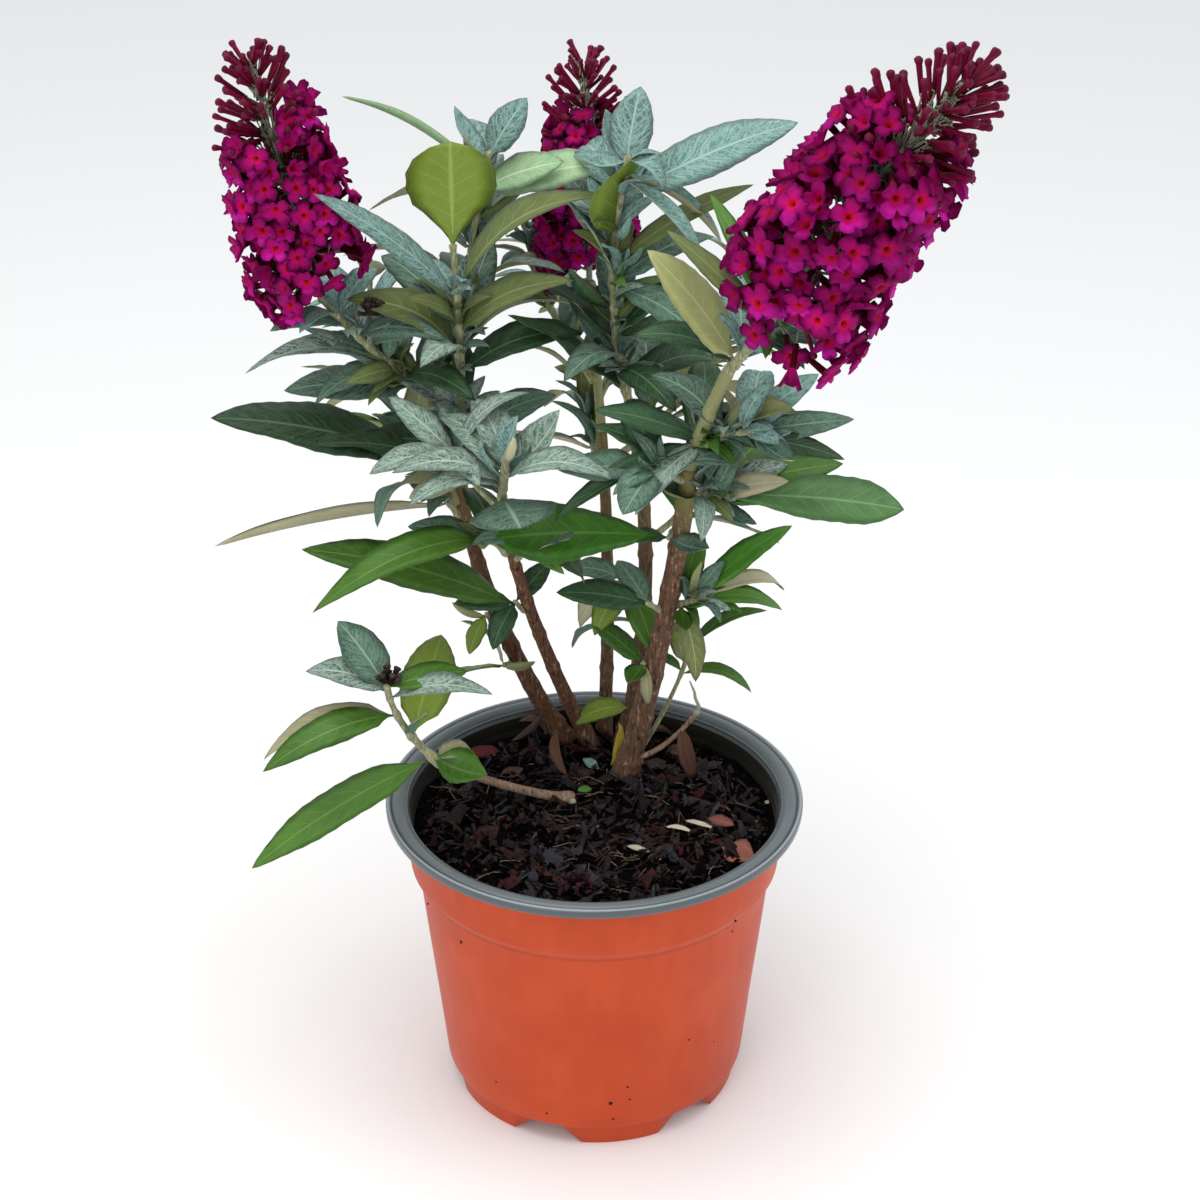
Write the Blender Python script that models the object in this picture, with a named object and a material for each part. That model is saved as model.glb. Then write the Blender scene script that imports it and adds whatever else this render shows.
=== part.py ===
# A young butterfly bush in its nursery pot: five woody canes and a low side branch rise from
# the soil, and carry leafy shoots and three flower spikes.
# Places are in millimetres from the middle of the pot's underside, angles in degrees.
# A heading turns from +X towards +Y, and a lift rises from level.

import math
import random

import bmesh
import bpy
from mathutils import Matrix, Vector
from mathutils.bvhtree import BVHTree

MM = 0.001
GAP = 0.3

# Pot: a thin two-colour nursery pot, 170 mm over the rim.
RIM_RADIUS = 85.0
RIM_TOP = 132.0
RIM_DEPTH = 3.5
LIP_INNER_RADIUS = 79.2
WALL = 1.1
SHOULDER_TOP_RADIUS = 77.8
SHOULDER_RADIUS = 75.4
STEP_HEIGHT = 99.0
STEP_RADIUS = 72.0
WALL_FOOT_RADIUS = 62.3
WALL_FOOT_HEIGHT = 7.5
FLOOR_TOP = 8.0
FLOOR_UNDERSIDE = 6.5
FOOT_OUTER_RADIUS = 60.6
FOOT_INNER_RADIUS = 52.0
FOOT_COUNT = 6
FOOT_SPAN = 35.0
FIRST_FOOT_HEADING = 282.5
FOOT_GAP_FLARE = 1.9
PAD_RADIUS = 12.0
DRAIN_RADIUS = 4.0
DRAIN_CIRCLE = 40.0
LINER_FOOT_HEIGHT = 112.0
LINER_FOOT_RADIUS = 74.0
LINER_THICKNESS = 0.8
SOIL_TOP = 120.0
POT_SEGMENTS = 32

# Limbs: foot, tip, sideways bow of the middle, foot and tip radius.
CANES = {
    "cane_left": ((-13, 64, SOIL_TOP + GAP), (-55, 46, 251), (-6, 2, -3), 3.9, 2.5),
    "cane_front": ((-2, 60, SOIL_TOP + GAP), (-36, 2, 259), (-4, 2, 0), 3.2, 2.0),
    "cane_right": ((13, 35, SOIL_TOP + GAP), (37, 8, 275), (3, 2, 0), 4.9, 3.4),
    "cane_centre": ((12, 59, SOIL_TOP + GAP), (14, 42, 286), (8, 0, 0), 3.4, 2.4),
    "cane_back": ((4, 68, SOIL_TOP + GAP), (3, 82, 257), (2, 0, 0), 2.9, 2.2),
    "branch_low": ((-12, 15, SOIL_TOP + GAP), (-61, -21, 159), (0, 5, -5), 2.5, 1.8),
}
FOOT_FLARE = 1.3

# Boughs that spring from a limb: the limb, how far along it, heading, tip, bow, radii.
BOUGHS = {
    "bough_left": ("cane_left", 0.95, 215, (-66, 38, 293), (-2, 0, 0), 2.1, 1.8),
    "bough_right": ("cane_right", 1.0, 0, (50, -15, 325), (-1, 0, 0), 3.1, 2.3),
    "bough_back": ("cane_back", 1.0, 0, (-2, 88, 321), (0, 0, 0), 2.0, 1.6),
    "twig_dry": ("cane_right", 0.08, 330, (42, 24, 156), (0, 0, -3), 1.2, 0.9),
}

# Leafy shoots: the limb, how far along it, heading, tip of the shoot, bow, foot radius,
# and the leaves as (place along the shoot, heading, lift, length, width, own roll if any).
SHOOTS = {
    "leaves_left_low": ("cane_left", 0.90, 205, (-68, 36, 268), (0, 0, -2), 1.6, [
        (0.30, 205, -2, 99, 17, -26), (0.50, 240, 10, 48, 17), (0.80, 120, 10, 50, 18),
        (0.90, 195, 20, 88, 31), (1.00, 210, 20, 48, 17)]),
    "leaves_front": ("cane_front", 1.0, 0, (-33, -14, 290), (0, 0, 0), 1.8, [
        (0.10, 250, 9, 26, 16), (0.10, 335, 4, 34, 18), (0.25, 195, 3, 38, 14),
        (0.30, 10, 8, 41, 14), (0.50, 185, 8, 50, 16), (0.50, 45, 26, 38, 17),
        (0.70, 160, 27, 51, 16), (0.70, 320, 25, 28, 13), (0.85, 150, 36, 30, 12),
        (0.95, 80, 45, 26, 11), (0.95, 235, 45, 22, 10)]),
    "leaves_front_low": ("cane_front", 0.84, 200, (-45, 4, 246), (0, 0, 2), 1.4, [
        (0.40, 185, 0, 77, 25), (0.80, 215, -8, 79, 25), (0.90, 165, 4, 30, 14),
        (0.40, 225, -38, 30, 13), (0.60, 290, -30, 30, 14)]),
    "leaves_front_right": ("cane_front", 0.82, 330, (-18, 0, 243), (0, 0, 2), 1.4, [
        (0.50, 350, 8, 56, 34), (0.90, 300, 35, 24, 14), (0.50, 15, -36, 28, 14),
        (0.60, 200, 20, 26, 12)]),
    "leaves_right_low": ("cane_right", 0.92, 350, (54, -1, 266), (0, 0, 0), 1.6, [
        (0.50, 350, 0, 72, 31), (0.70, 20, 22, 34, 13), (0.90, 5, 13, 28, 12),
        (0.50, 60, 5, 48, 17)]),
    "leaves_right": ("bough_right", 0.25, 20, (60, -12, 299), (0, 0, 1), 1.6, [
        (0.20, 200, 20, 34, 14), (0.30, 40, 12, 36, 16), (0.60, 5, 0, 47, 16),
        (0.75, 330, -5, 50, 15), (0.95, 350, -7, 38, 14), (0.95, 80, 10, 36, 14)]),
    "leaves_low": ("branch_low", 1.0, 0, (-79, -42, 206), (-4, 0, 0), 1.7, [
        (0.08, 200, -24, 83, 19), (0.10, 350, 8, 30, 20), (0.35, 80, 19, 56, 21),
        (0.38, 300, 50, 22, 11), (0.62, 190, -3, 53, 13), (0.64, 210, -5, 56, 16),
        (0.85, 350, 13, 40, 15), (0.92, 180, 21, 32, 14), (0.96, 150, 49, 32, 18),
        (1.00, 20, 3, 32, 14)]),
    "leaves_tall": ("cane_left", 1.0, 0, (-53, 22, 360), (2, -2, 0), 2.2, [
        (0.20, 185, -8, 46, 15), (0.22, 20, 5, 44, 15), (0.35, 200, -33, 36, 14),
        (0.40, 10, 5, 44, 16), (0.58, 345, 0, 44, 17), (0.55, 250, 20, 34, 12),
        (0.62, 180, 6, 62, 19), (0.64, 330, 12, 40, 15), (0.75, 170, 7, 42, 20),
        (0.75, 20, 8, 44, 17), (0.81, 172, 27, 62, 17), (0.83, 10, 23, 66, 22),
        (1.00, 270, 86, 43, 34)]),
    "leaves_right_top": ("bough_right", 1.0, 0, (64, -38, 353), (0, 0, 0), 1.9, [
        (0.20, 10, -18, 36, 14), (0.40, 170, 44, 47, 25), (0.40, 190, 5, 30, 12),
        (0.80, 60, 20, 30, 12), (0.80, 350, -26, 18, 8)]),
    "leaves_left": ("bough_left", 1.0, 0, (-103, 18, 340), (0, 0, -2), 1.7, [
        (0.10, 215, -9, 40, 16), (0.10, 60, 10, 40, 15), (0.35, 170, 5, 42, 16),
        (0.35, 300, 0, 36, 14), (0.58, 200, -24, 40, 15), (0.62, 190, -12, 46, 13),
        (0.62, 20, 10, 36, 14), (0.85, 240, 10, 22, 8), (0.85, 60, 20, 22, 8)]),
    "leaves_left_top": ("cane_left", 0.90, 70, (-40, 56, 385), (-6, 6, 0), 1.6, [
        (0.45, 190, 5, 50, 17), (0.60, 345, 0, 50, 18), (0.70, 20, 10, 48, 18),
        (0.80, 300, -20, 48, 18), (0.85, 170, 39, 65, 11, -20), (0.90, 10, 12, 52, 27),
        (0.95, 330, 2, 50, 20), (1.00, 120, 20, 24, 11), (1.00, 50, 14, 30, 13)]),
    "leaves_centre": ("cane_centre", 1.0, 0, (14, 30, 400), (-6, 0, 0), 2.1, [
        (0.06, 215, 7, 42, 17), (0.12, 350, -21, 34, 17), (0.22, 190, -3, 42, 17),
        (0.26, 10, -27, 36, 16), (0.34, 100, 5, 44, 17), (0.34, 280, -10, 36, 16),
        (0.42, 180, 1, 46, 18), (0.44, 20, -24, 42, 17), (0.54, 170, 5, 36, 15),
        (0.56, 10, -18, 48, 17), (0.60, 250, -12, 36, 14), (0.66, 200, -22, 30, 13),
        (0.68, 320, -30, 34, 15), (0.76, 100, 15, 44, 15), (0.78, 345, 2, 46, 17),
        (0.86, 220, -24, 48, 17), (0.72, 12, 2, 48, 18),
        (0.86, 12, 6, 68, 24), (0.94, 190, -14, 30, 13),
        (0.95, 60, 26, 26, 15), (1.00, 335, -24, 44, 16)]),
    "leaves_right_inner": ("cane_right", 0.97, 215, (22, -8, 281), (0, 0, 0), 1.4, [
        (0.60, 170, 40, 38, 23), (0.80, 215, -4, 46, 12), (0.95, 245, -12, 28, 17),
        (0.80, 190, 15, 36, 16)]),
    "leaves_right_stem": ("cane_right", 0.56, 215, (21, 11, 214), (0, 0, 0), 1.2, [
        (0.70, 185, 12, 36, 17), (0.70, 250, -38, 28, 14), (0.90, 225, 0, 22, 11)]),
    "leaves_right_foot": ("cane_right", 0.56, 20, (44, 16, 214), (0, 0, 0), 1.2, [
        (0.60, 10, -8, 38, 12), (0.70, 35, -12, 48, 13), (0.95, 20, 35, 34, 16),
        (0.10, 300, -62, 34, 13),
        (0.30, 70, 50, 30, 13)]),
    "leaves_left_foot": ("cane_left", 0.34, 215, (-38, 50, 164), (0, 0, 0), 1.2, [
        (0.70, 200, -4, 30, 19), (0.90, 160, 50, 26, 11), (0.70, 300, 0, 22, 10)]),
    "leaves_centre_low": ("cane_centre", 0.50, 215, (12, 45, 207), (0, 0, 0), 1.2, [
        (0.60, 235, -25, 28, 14), (0.80, 190, -35, 28, 13), (0.80, 300, -45, 32, 15),
        (0.95, 160, 5, 24, 11)]),
    "leaves_sprig": ("cane_right", 0.03, 60, (42, 37, 168), (0, 2, 0), 1.2, [
        (0.90, 350, -3, 37, 11), (0.95, 30, 5, 22, 9), (0.80, 150, 40, 22, 9)]),
}

# Shoots at the back, whose leaves follow the rule alone: limb, place, heading, tip, bow,
# foot radius, number of leaf pairs, length of the longest leaf.
BACK_SHOOTS = {
    "leaves_back_left": ("cane_left", 0.86, 125, (-92, 98, 318), (-8, 8, -8), 1.7, 6, 64),
    "leaves_back_right": ("cane_back", 0.90, 20, (62, 112, 312), (8, 8, -8), 1.7, 6, 62),
    "leaves_back": ("cane_back", 0.82, 95, (-14, 132, 306), (0, 10, -10), 1.7, 6, 60),
    "leaves_back_low": ("cane_centre", 0.62, 40, (62, 78, 262), (4, 4, -4), 1.5, 5, 56),
    "leaves_back_top": ("bough_back", 0.35, 200, (-28, 92, 348), (-6, 4, 0), 1.5, 5, 48),
}

# Flower spikes: the shoot or bough below, tip of the spike, bow, widest radius.
SPIKES = {
    "spike_left": ("leaves_left", (-120, 5, 435), (0, 0, 1), 28),
    "spike_middle": ("bough_back", (-4, 96, 409), (0, 0, 0), 25),
    "spike_right": ("leaves_right_top", (126, -74, 454), (-2, 1, 3), 33),
}
FLOWER_COUNT = 32
FLOWER_RADIUS = 7.5
FLOWER_TUBE_RADIUS = 1.5
FLOWERS_END = 0.68
BUD_COUNT = 13
BUD_RADIUS = 1.9
SPIKE_STALK_RADIUS = 1.3
SPIKE_CORE_SHARE = 0.62
SPIKE_TOP_SHARE = 0.45

LEAF_ARCH = 0.07
LEAF_ROLL = 12.0
FACE_TILT = 24.0
CROWN_MIDDLE = 50.0
LEAF_THICKNESS = 1 / 50
PETIOLE_RADIUS = 0.6
LONG_LEAF = 34.0
LIMB_SIDES = 8
TWIG_SIDES = 5
GOLDEN_TURN = math.radians(137.5)

# Turns and rises, tried in this order, that take a leaf clear of its neighbours.
NUDGES = [(0, 0), (0, 8), (0, -8), (10, 0), (-10, 0), (12, 12), (-12, 12), (0, 20), (20, 0),
          (-20, 0), (0, -18)]

TERRACOTTA = ((0.62, 0.13, 0.05), 0.45)
GREY_PLASTIC = ((0.13, 0.15, 0.15), 0.40)
BARK_MULCH = ((0.03, 0.02, 0.02), 0.95)
BROWN_BARK = ((0.20, 0.11, 0.07), 0.85)
GREEN_BARK = ((0.30, 0.30, 0.16), 0.80)
LEAF_GREEN = ((0.07, 0.17, 0.05), 0.60)
MAGENTA = ((0.42, 0.01, 0.17), 0.55)


def clear_scene():
    for obj in list(bpy.data.objects):
        bpy.data.objects.remove(obj, do_unlink=True)


def make_material(name, finish):
    colour, roughness = finish
    mat = bpy.data.materials.new(name)
    mat.use_nodes = True
    shader = mat.node_tree.nodes["Principled BSDF"]
    shader.inputs["Base Color"].default_value = (*colour, 1.0)
    shader.inputs["Roughness"].default_value = roughness
    shader.inputs["Metallic"].default_value = 0.0
    return mat


def link_object(name, bm):
    """Turn a bmesh in millimetres into an object in metres, faceted so that it joins cleanly."""
    bmesh.ops.triangulate(bm, faces=bm.faces)
    bmesh.ops.recalc_face_normals(bm, faces=bm.faces)
    bmesh.ops.scale(bm, vec=Vector((MM, MM, MM)), verts=bm.verts)
    mesh = bpy.data.meshes.new(name)
    bm.to_mesh(mesh)
    bm.free()
    obj = bpy.data.objects.new(name, mesh)
    bpy.context.scene.collection.objects.link(obj)
    return obj


def finish_object(obj, finish, smooth=True):
    obj.data.materials.clear()
    obj.data.materials.append(make_material(obj.name + "_finish", finish))
    if smooth:
        obj.data.shade_smooth()
        obj.data.set_sharp_from_angle(angle=math.radians(35))
    return obj


def apply_modifiers(obj):
    evaluated = obj.evaluated_get(bpy.context.evaluated_depsgraph_get())
    mesh = bpy.data.meshes.new_from_object(evaluated)
    obj.modifiers.clear()
    obj.data = mesh


def revolve(name, outline):
    """Spin a closed outline of (radius, height) once round the pot's axis."""
    bm = bmesh.new()
    verts = [bm.verts.new((r, 0, z)) for r, z in outline]
    edges = [bm.edges.new((a, b)) for a, b in zip(verts, verts[1:] + verts[:1])
             if a.co.x > 0 or b.co.x > 0]
    bmesh.ops.spin(bm, geom=verts + edges, cent=(0, 0, 0), axis=(0, 0, 1), dvec=(0, 0, 0),
                   angle=math.tau, steps=POT_SEGMENTS, use_merge=True)
    bmesh.ops.remove_doubles(bm, verts=bm.verts, dist=0.01)
    return link_object(name, bm)


def cut(obj, cutters):
    """Subtract every cutter from an object, then remove the cutters."""
    for cutter in cutters:
        cutter.hide_render = True
        cutter.display_type = "WIRE"
        modifier = obj.modifiers.new("cut", "BOOLEAN")
        modifier.operation = "DIFFERENCE"
        modifier.solver = "EXACT"
        modifier.object = cutter
    apply_modifiers(obj)
    for cutter in cutters:
        bpy.data.objects.remove(cutter, do_unlink=True)


def build_pot():
    shell_top = RIM_TOP - 2.1
    shell = revolve("pot_shell", [
        (0, 0), (PAD_RADIUS, 0), (PAD_RADIUS + 1, FLOOR_UNDERSIDE),
        (FOOT_INNER_RADIUS, FLOOR_UNDERSIDE), (FOOT_INNER_RADIUS + 0.6, 0),
        (FOOT_OUTER_RADIUS - 0.4, 0), (FOOT_OUTER_RADIUS, WALL_FOOT_HEIGHT),
        (WALL_FOOT_RADIUS, WALL_FOOT_HEIGHT), (STEP_RADIUS, STEP_HEIGHT),
        (SHOULDER_RADIUS, STEP_HEIGHT + 3.0), (SHOULDER_TOP_RADIUS, shell_top),
        (SHOULDER_TOP_RADIUS - WALL, shell_top),
        (SHOULDER_RADIUS - WALL, STEP_HEIGHT + 3.4),
        (STEP_RADIUS - WALL, STEP_HEIGHT + 0.4),
        (WALL_FOOT_RADIUS - WALL, FLOOR_TOP), (0, FLOOR_TOP)])
    cut(shell, foot_gaps() + drains())
    finish_object(shell, TERRACOTTA)

    liner_top = LIP_INNER_RADIUS - 3.8
    wall_top = RIM_TOP - 1.7
    liner = revolve("pot_liner", [
        (LINER_FOOT_RADIUS, LINER_FOOT_HEIGHT), (liner_top, RIM_TOP - RIM_DEPTH),
        (LIP_INNER_RADIUS - 1.4, RIM_TOP - 1.2), (LIP_INNER_RADIUS, RIM_TOP),
        (RIM_RADIUS - 0.7, RIM_TOP), (RIM_RADIUS, RIM_TOP - 0.7), (RIM_RADIUS - 0.2, RIM_TOP - RIM_DEPTH),
        (RIM_RADIUS - 0.9, RIM_TOP - RIM_DEPTH), (RIM_RADIUS - 1.2, wall_top),
        (liner_top + LINER_THICKNESS, wall_top),
        (liner_top + LINER_THICKNESS - 0.1, RIM_TOP - RIM_DEPTH),
        (LINER_FOOT_RADIUS + LINER_THICKNESS, LINER_FOOT_HEIGHT)])
    finish_object(liner, GREY_PLASTIC)

    soil_edge = LINER_FOOT_RADIUS - GAP
    soil = revolve("soil", [
        (0, FLOOR_TOP + GAP), (WALL_FOOT_RADIUS - WALL - GAP - 0.1, FLOOR_TOP + GAP),
        (STEP_RADIUS - WALL - 2 * GAP, STEP_HEIGHT), (soil_edge, LINER_FOOT_HEIGHT - 2 * GAP),
        (soil_edge + 0.6, SOIL_TOP), (0, SOIL_TOP)])
    finish_object(soil, BARK_MULCH)


def foot_gaps():
    """The spaces between the feet under the pot's wall."""
    gaps = []
    pitch = 360 / FOOT_COUNT
    width = 2 * FOOT_OUTER_RADIUS * math.sin(math.radians((pitch - FOOT_SPAN) / 2))
    for index in range(FOOT_COUNT):
        turn = math.radians(FIRST_FOOT_HEADING + (index + 0.5) * pitch)
        bm = bmesh.new()
        size = Vector((FOOT_OUTER_RADIUS - FOOT_INNER_RADIUS + 4, width, FLOOR_UNDERSIDE * 2))
        bmesh.ops.create_cube(bm, size=1)
        bmesh.ops.scale(bm, vec=size, verts=bm.verts)
        flare = Vector((1, FOOT_GAP_FLARE, 1))
        bmesh.ops.scale(bm, vec=flare, verts=[vert for vert in bm.verts if vert.co.z < 0])
        middle = (FOOT_OUTER_RADIUS + FOOT_INNER_RADIUS) / 2
        bmesh.ops.translate(bm, vec=Vector((middle, 0, 0)), verts=bm.verts)
        bmesh.ops.rotate(bm, matrix=Matrix.Rotation(turn, 3, "Z"), verts=bm.verts)
        gaps.append(link_object("foot_gap", bm))
    return gaps


def drains():
    """Round drainage holes through the pot's floor."""
    holes = []
    for index in range(FOOT_COUNT):
        turn = math.radians(FIRST_FOOT_HEADING + (index + 0.5) * 360 / FOOT_COUNT)
        bm = bmesh.new()
        bmesh.ops.create_cone(bm, cap_ends=True, segments=12, radius1=DRAIN_RADIUS,
                              radius2=DRAIN_RADIUS, depth=FLOOR_TOP)
        centre = Vector((math.cos(turn), math.sin(turn), 0)) * DRAIN_CIRCLE
        centre.z = FLOOR_TOP
        bmesh.ops.translate(bm, vec=centre, verts=bm.verts)
        holes.append(link_object("drain", bm))
    return holes


class Limb:
    """A tapering stem along a bowed line from foot to tip; one that flares is cut at the soil."""

    def __init__(self, start, end, bow, foot_radius, tip_radius, foot_normal=None, flare=0.0):
        self.start = Vector(start)
        self.end = Vector(end)
        self.bow = Vector(bow)
        self.foot_radius = foot_radius
        self.tip_radius = tip_radius
        self.foot_normal = foot_normal
        self.flare = flare

    def point(self, t):
        return self.start.lerp(self.end, t) + self.bow * (4 * t * (1 - t))

    def tangent(self, t):
        return (self.end - self.start + self.bow * (4 - 8 * t)).normalized()

    def radius(self, t):
        straight = self.foot_radius + (self.tip_radius - self.foot_radius) * t
        return straight + self.flare * math.exp(-18 * max(t, 0))

    def mesh(self, sides, stations):
        bm = bmesh.new()
        rings = []
        for index in range(stations):
            t = index / (stations - 1)
            if self.flare:
                t = t ** 1.6 if index else -0.06
            normal = self.foot_normal if index == 0 and self.foot_normal else self.tangent(t)
            rings.append(ring(bm, self.point(t), normal, self.radius(t), sides))
        loft(bm, rings)
        if self.flare:
            cut_level(bm, self.start.z)
        return bm


def direction(heading, lift=0.0):
    turn, rise = math.radians(heading), math.radians(lift)
    return Vector((math.cos(turn) * math.cos(rise), math.sin(turn) * math.cos(rise),
                   math.sin(rise)))


def ring(bm, centre, normal, radius, sides, turn=0.0):
    """A ring of vertices round a centre, square to a normal."""
    side = normal.cross(Vector((0.31, 0.95, 0.05))).normalized()
    other = normal.cross(side).normalized()
    angles = [turn + math.tau * i / sides for i in range(sides)]
    return [bm.verts.new(centre + (side * math.cos(a) + other * math.sin(a)) * radius)
            for a in angles]


def loft(bm, rings, close_foot=True):
    """Join rings of equal count with quads and close the ends."""
    for low, high in zip(rings, rings[1:]):
        for i in range(len(low)):
            j = (i + 1) % len(low)
            bm.faces.new((low[i], low[j], high[j], high[i]))
    bm.faces.new(rings[-1])
    if close_foot:
        bm.faces.new(rings[0])


def cut_level(bm, height):
    """Cut everything below a height away, and close the cut."""
    bmesh.ops.bisect_plane(bm, geom=bm.verts[:] + bm.edges[:] + bm.faces[:], dist=0.001,
                           plane_co=(0, 0, height), plane_no=(0, 0, 1), clear_inner=True)
    bmesh.ops.holes_fill(bm, edges=[edge for edge in bm.edges if edge.is_boundary])


def spring_from(parent, place, heading):
    """Where a shoot starts on a limb, just clear of it, and which way it first points."""
    axis = parent.tangent(place)
    if place >= 1.0:
        return parent.end + axis * GAP, axis
    away = direction(heading)
    away = (away - axis * away.dot(axis)).normalized()
    return parent.point(place) + away * (parent.radius(place) + GAP), away


def leaf_mesh(base, along, side, length, width, extra=0.0):
    """A keeled, arching lance-shaped blade on a short stalk; extra thickens it all round."""
    normal = along.cross(side).normalized()
    stations = [(0.0, 0.0), (0.16, 0.36), (0.45, 1.0), (0.80, 0.55)]
    if length < LONG_LEAF:
        stations = [(0.0, 0.0), (0.40, 0.95), (0.76, 0.62)]
    bm = bmesh.new()
    rings = []
    for t, share in stations:
        centre = base + along * (length * t) + normal * (length * LEAF_ARCH * 4 * t * (1 - t))
        reach = max(width / 2 * share, PETIOLE_RADIUS) + extra
        keel = max(length * LEAF_THICKNESS * share, PETIOLE_RADIUS) + extra
        rings.append([bm.verts.new(centre + side * reach + normal * extra),
                      bm.verts.new(centre - side * reach + normal * extra),
                      bm.verts.new(centre - normal * keel)])
    tip = bm.verts.new(base + along * (length + extra))
    for low, high in zip(rings, rings[1:]):
        for i in range(3):
            j = (i + 1) % 3
            bm.faces.new((low[i], low[j], high[j], high[i]))
    for i in range(3):
        bm.faces.new((rings[-1][i], rings[-1][(i + 1) % 3], tip))
    bm.faces.new(rings[0])
    return bm


def blade_side(along, base, roll):
    """The line across a blade: level, then turned so that the blade looks out of the crown."""
    side = Vector((-along.y, along.x, 0)).normalized()
    outward = 1 if base.y > CROWN_MIDDLE else -1
    tilt = FACE_TILT * -outward * side.y
    return Matrix.Rotation(math.radians(tilt + roll), 3, along) @ side


def rule_leaves(shoot, pairs, longest, seed):
    """Opposite pairs of leaves, each pair turned a quarter from the one below."""
    rng = random.Random(seed)
    leaves = []
    for index in range(pairs):
        place = 0.22 + 0.78 * index / (pairs - 1)
        axis = shoot.tangent(place)
        across = axis.cross(Vector((0, 0, 1))).normalized()
        turn = math.radians(90 * index + rng.uniform(-20, 20))
        spread = Matrix.Rotation(turn, 3, axis) @ across
        length = longest * (1 - 0.45 * place) * rng.uniform(0.85, 1.1)
        for sign in (1, -1):
            along = (spread * sign + axis * rng.uniform(0.35, 0.7)).normalized()
            heading = math.degrees(math.atan2(along.y, along.x))
            lift = max(math.degrees(math.asin(along.z)), -30)
            leaves.append((place + 0.008 * sign, heading, lift, length, length * 0.3))
    return leaves


class Clearances:
    """Keeps every finished solid, so that new leaves can stay clear of the others."""

    def __init__(self):
        self.trees = {}

    def add(self, owner, bm):
        self.trees.setdefault(owner, []).append(BVHTree.FromBMesh(bm))

    def free(self, owner, bm):
        tree = BVHTree.FromBMesh(bm)
        return not any(tree.overlap(other) for name, others in self.trees.items()
                       if name != owner for other in others)


def place_leaves(name, shoot, leaves, clearances):
    """Make each leaf that finds room, turned a little aside where it must be."""
    rng = random.Random(name)
    placed = []
    for place, heading, lift, length, width, *own_roll in leaves:
        axis = shoot.point(min(place, 0.985))
        roll = own_roll[0] if own_roll else rng.uniform(-LEAF_ROLL, LEAF_ROLL)
        for turn, rise in NUDGES:
            along = direction(heading + turn, lift + rise)
            base = axis + along * PETIOLE_RADIUS * rng.uniform(0.4, 0.8)
            side = blade_side(along, axis, roll)
            guard = leaf_mesh(base, along, side, length, width, extra=GAP + 0.15)
            fits = clearances.free(name, guard)
            guard.free()
            if fits:
                blade = leaf_mesh(base, along, side, length, width)
                clearances.add(name, blade)
                placed.append(link_object("leaf", blade))
                break
    return placed


def join_all(obj, parts):
    """One Boolean union of an object with a collection of parts, which are then removed."""
    group = bpy.data.collections.new("parts")
    bpy.context.scene.collection.children.link(group)
    for part in parts:
        bpy.context.scene.collection.objects.unlink(part)
        group.objects.link(part)
    modifier = obj.modifiers.new("join", "BOOLEAN")
    modifier.operation = "UNION"
    modifier.solver = "EXACT"
    modifier.operand_type = "COLLECTION"
    modifier.collection = group
    modifier.use_self = True
    apply_modifiers(obj)
    for part in parts:
        bpy.data.objects.remove(part, do_unlink=True)
    bpy.data.collections.remove(group)
    keep_main_body(obj)


def keep_main_body(obj):
    """Drop loose scraps and sealed hollows: only the outer skin of the main body stays."""
    bm = bmesh.new()
    bm.from_mesh(obj.data)
    bmesh.ops.remove_doubles(bm, verts=bm.verts, dist=0.0000001)
    bmesh.ops.triangulate(bm, faces=bm.faces)
    unseen, bodies = set(bm.verts), []
    while unseen:
        body, edge = set(), [unseen.pop()]
        while edge:
            vert = edge.pop()
            body.add(vert)
            for link in vert.link_edges:
                other = link.other_vert(vert)
                if other in unseen:
                    unseen.remove(other)
                    edge.append(other)
        bodies.append(body)
    main = max(bodies, key=len)
    bmesh.ops.delete(bm, geom=[v for v in bm.verts if v not in main], context="VERTS")
    bmesh.ops.recalc_face_normals(bm, faces=bm.faces)
    bm.to_mesh(obj.data)
    bm.free()


def spike_radius(t, widest):
    """Outline of a flower spike: full from low down, slim at the budded top."""
    swell = min(1.0, 0.78 + 1.8 * t)
    taper = 1.0 - 0.62 * max(0.0, t - 0.28) / 0.72
    return widest * swell * taper


def flower_mesh(foot, centre, facing, size):
    """A four-lobed flower: a star face on a tube that narrows to its foot in the spike."""
    bm = bmesh.new()
    lobes = ring(bm, centre, facing, size, 4)
    notches = ring(bm, centre, facing, size * 0.5, 4, turn=math.pi / 4)
    throat = ring(bm, centre - facing * 1.4, facing, FLOWER_TUBE_RADIUS, 4, turn=math.pi / 4)
    heart = bm.verts.new(centre + facing * 0.9)
    tail = bm.verts.new(foot)
    for i in range(4):
        j = (i + 1) % 4
        bm.faces.new((lobes[i], notches[i], heart))
        bm.faces.new((notches[i], lobes[j], heart))
        bm.faces.new((lobes[i], throat[i], notches[i]))
        bm.faces.new((notches[i], throat[i], lobes[j]))
        bm.faces.new((throat[i], throat[j], lobes[j]))
        bm.faces.new((throat[i], tail, throat[j]))
    return bm


def bud_mesh(foot, tip, radius):
    """A club-shaped bud: a thin tube that swells to a blunt head."""
    along = (tip - foot).normalized()
    bm = bmesh.new()
    tail = bm.verts.new(foot)
    neck = ring(bm, tip - along * (radius * 2), along, radius, 4)
    head = ring(bm, tip, along, radius * 0.6, 4)
    loft(bm, [neck, head], close_foot=False)
    for i in range(4):
        bm.faces.new((neck[i], neck[(i + 1) % 4], tail))
    return bm


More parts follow.
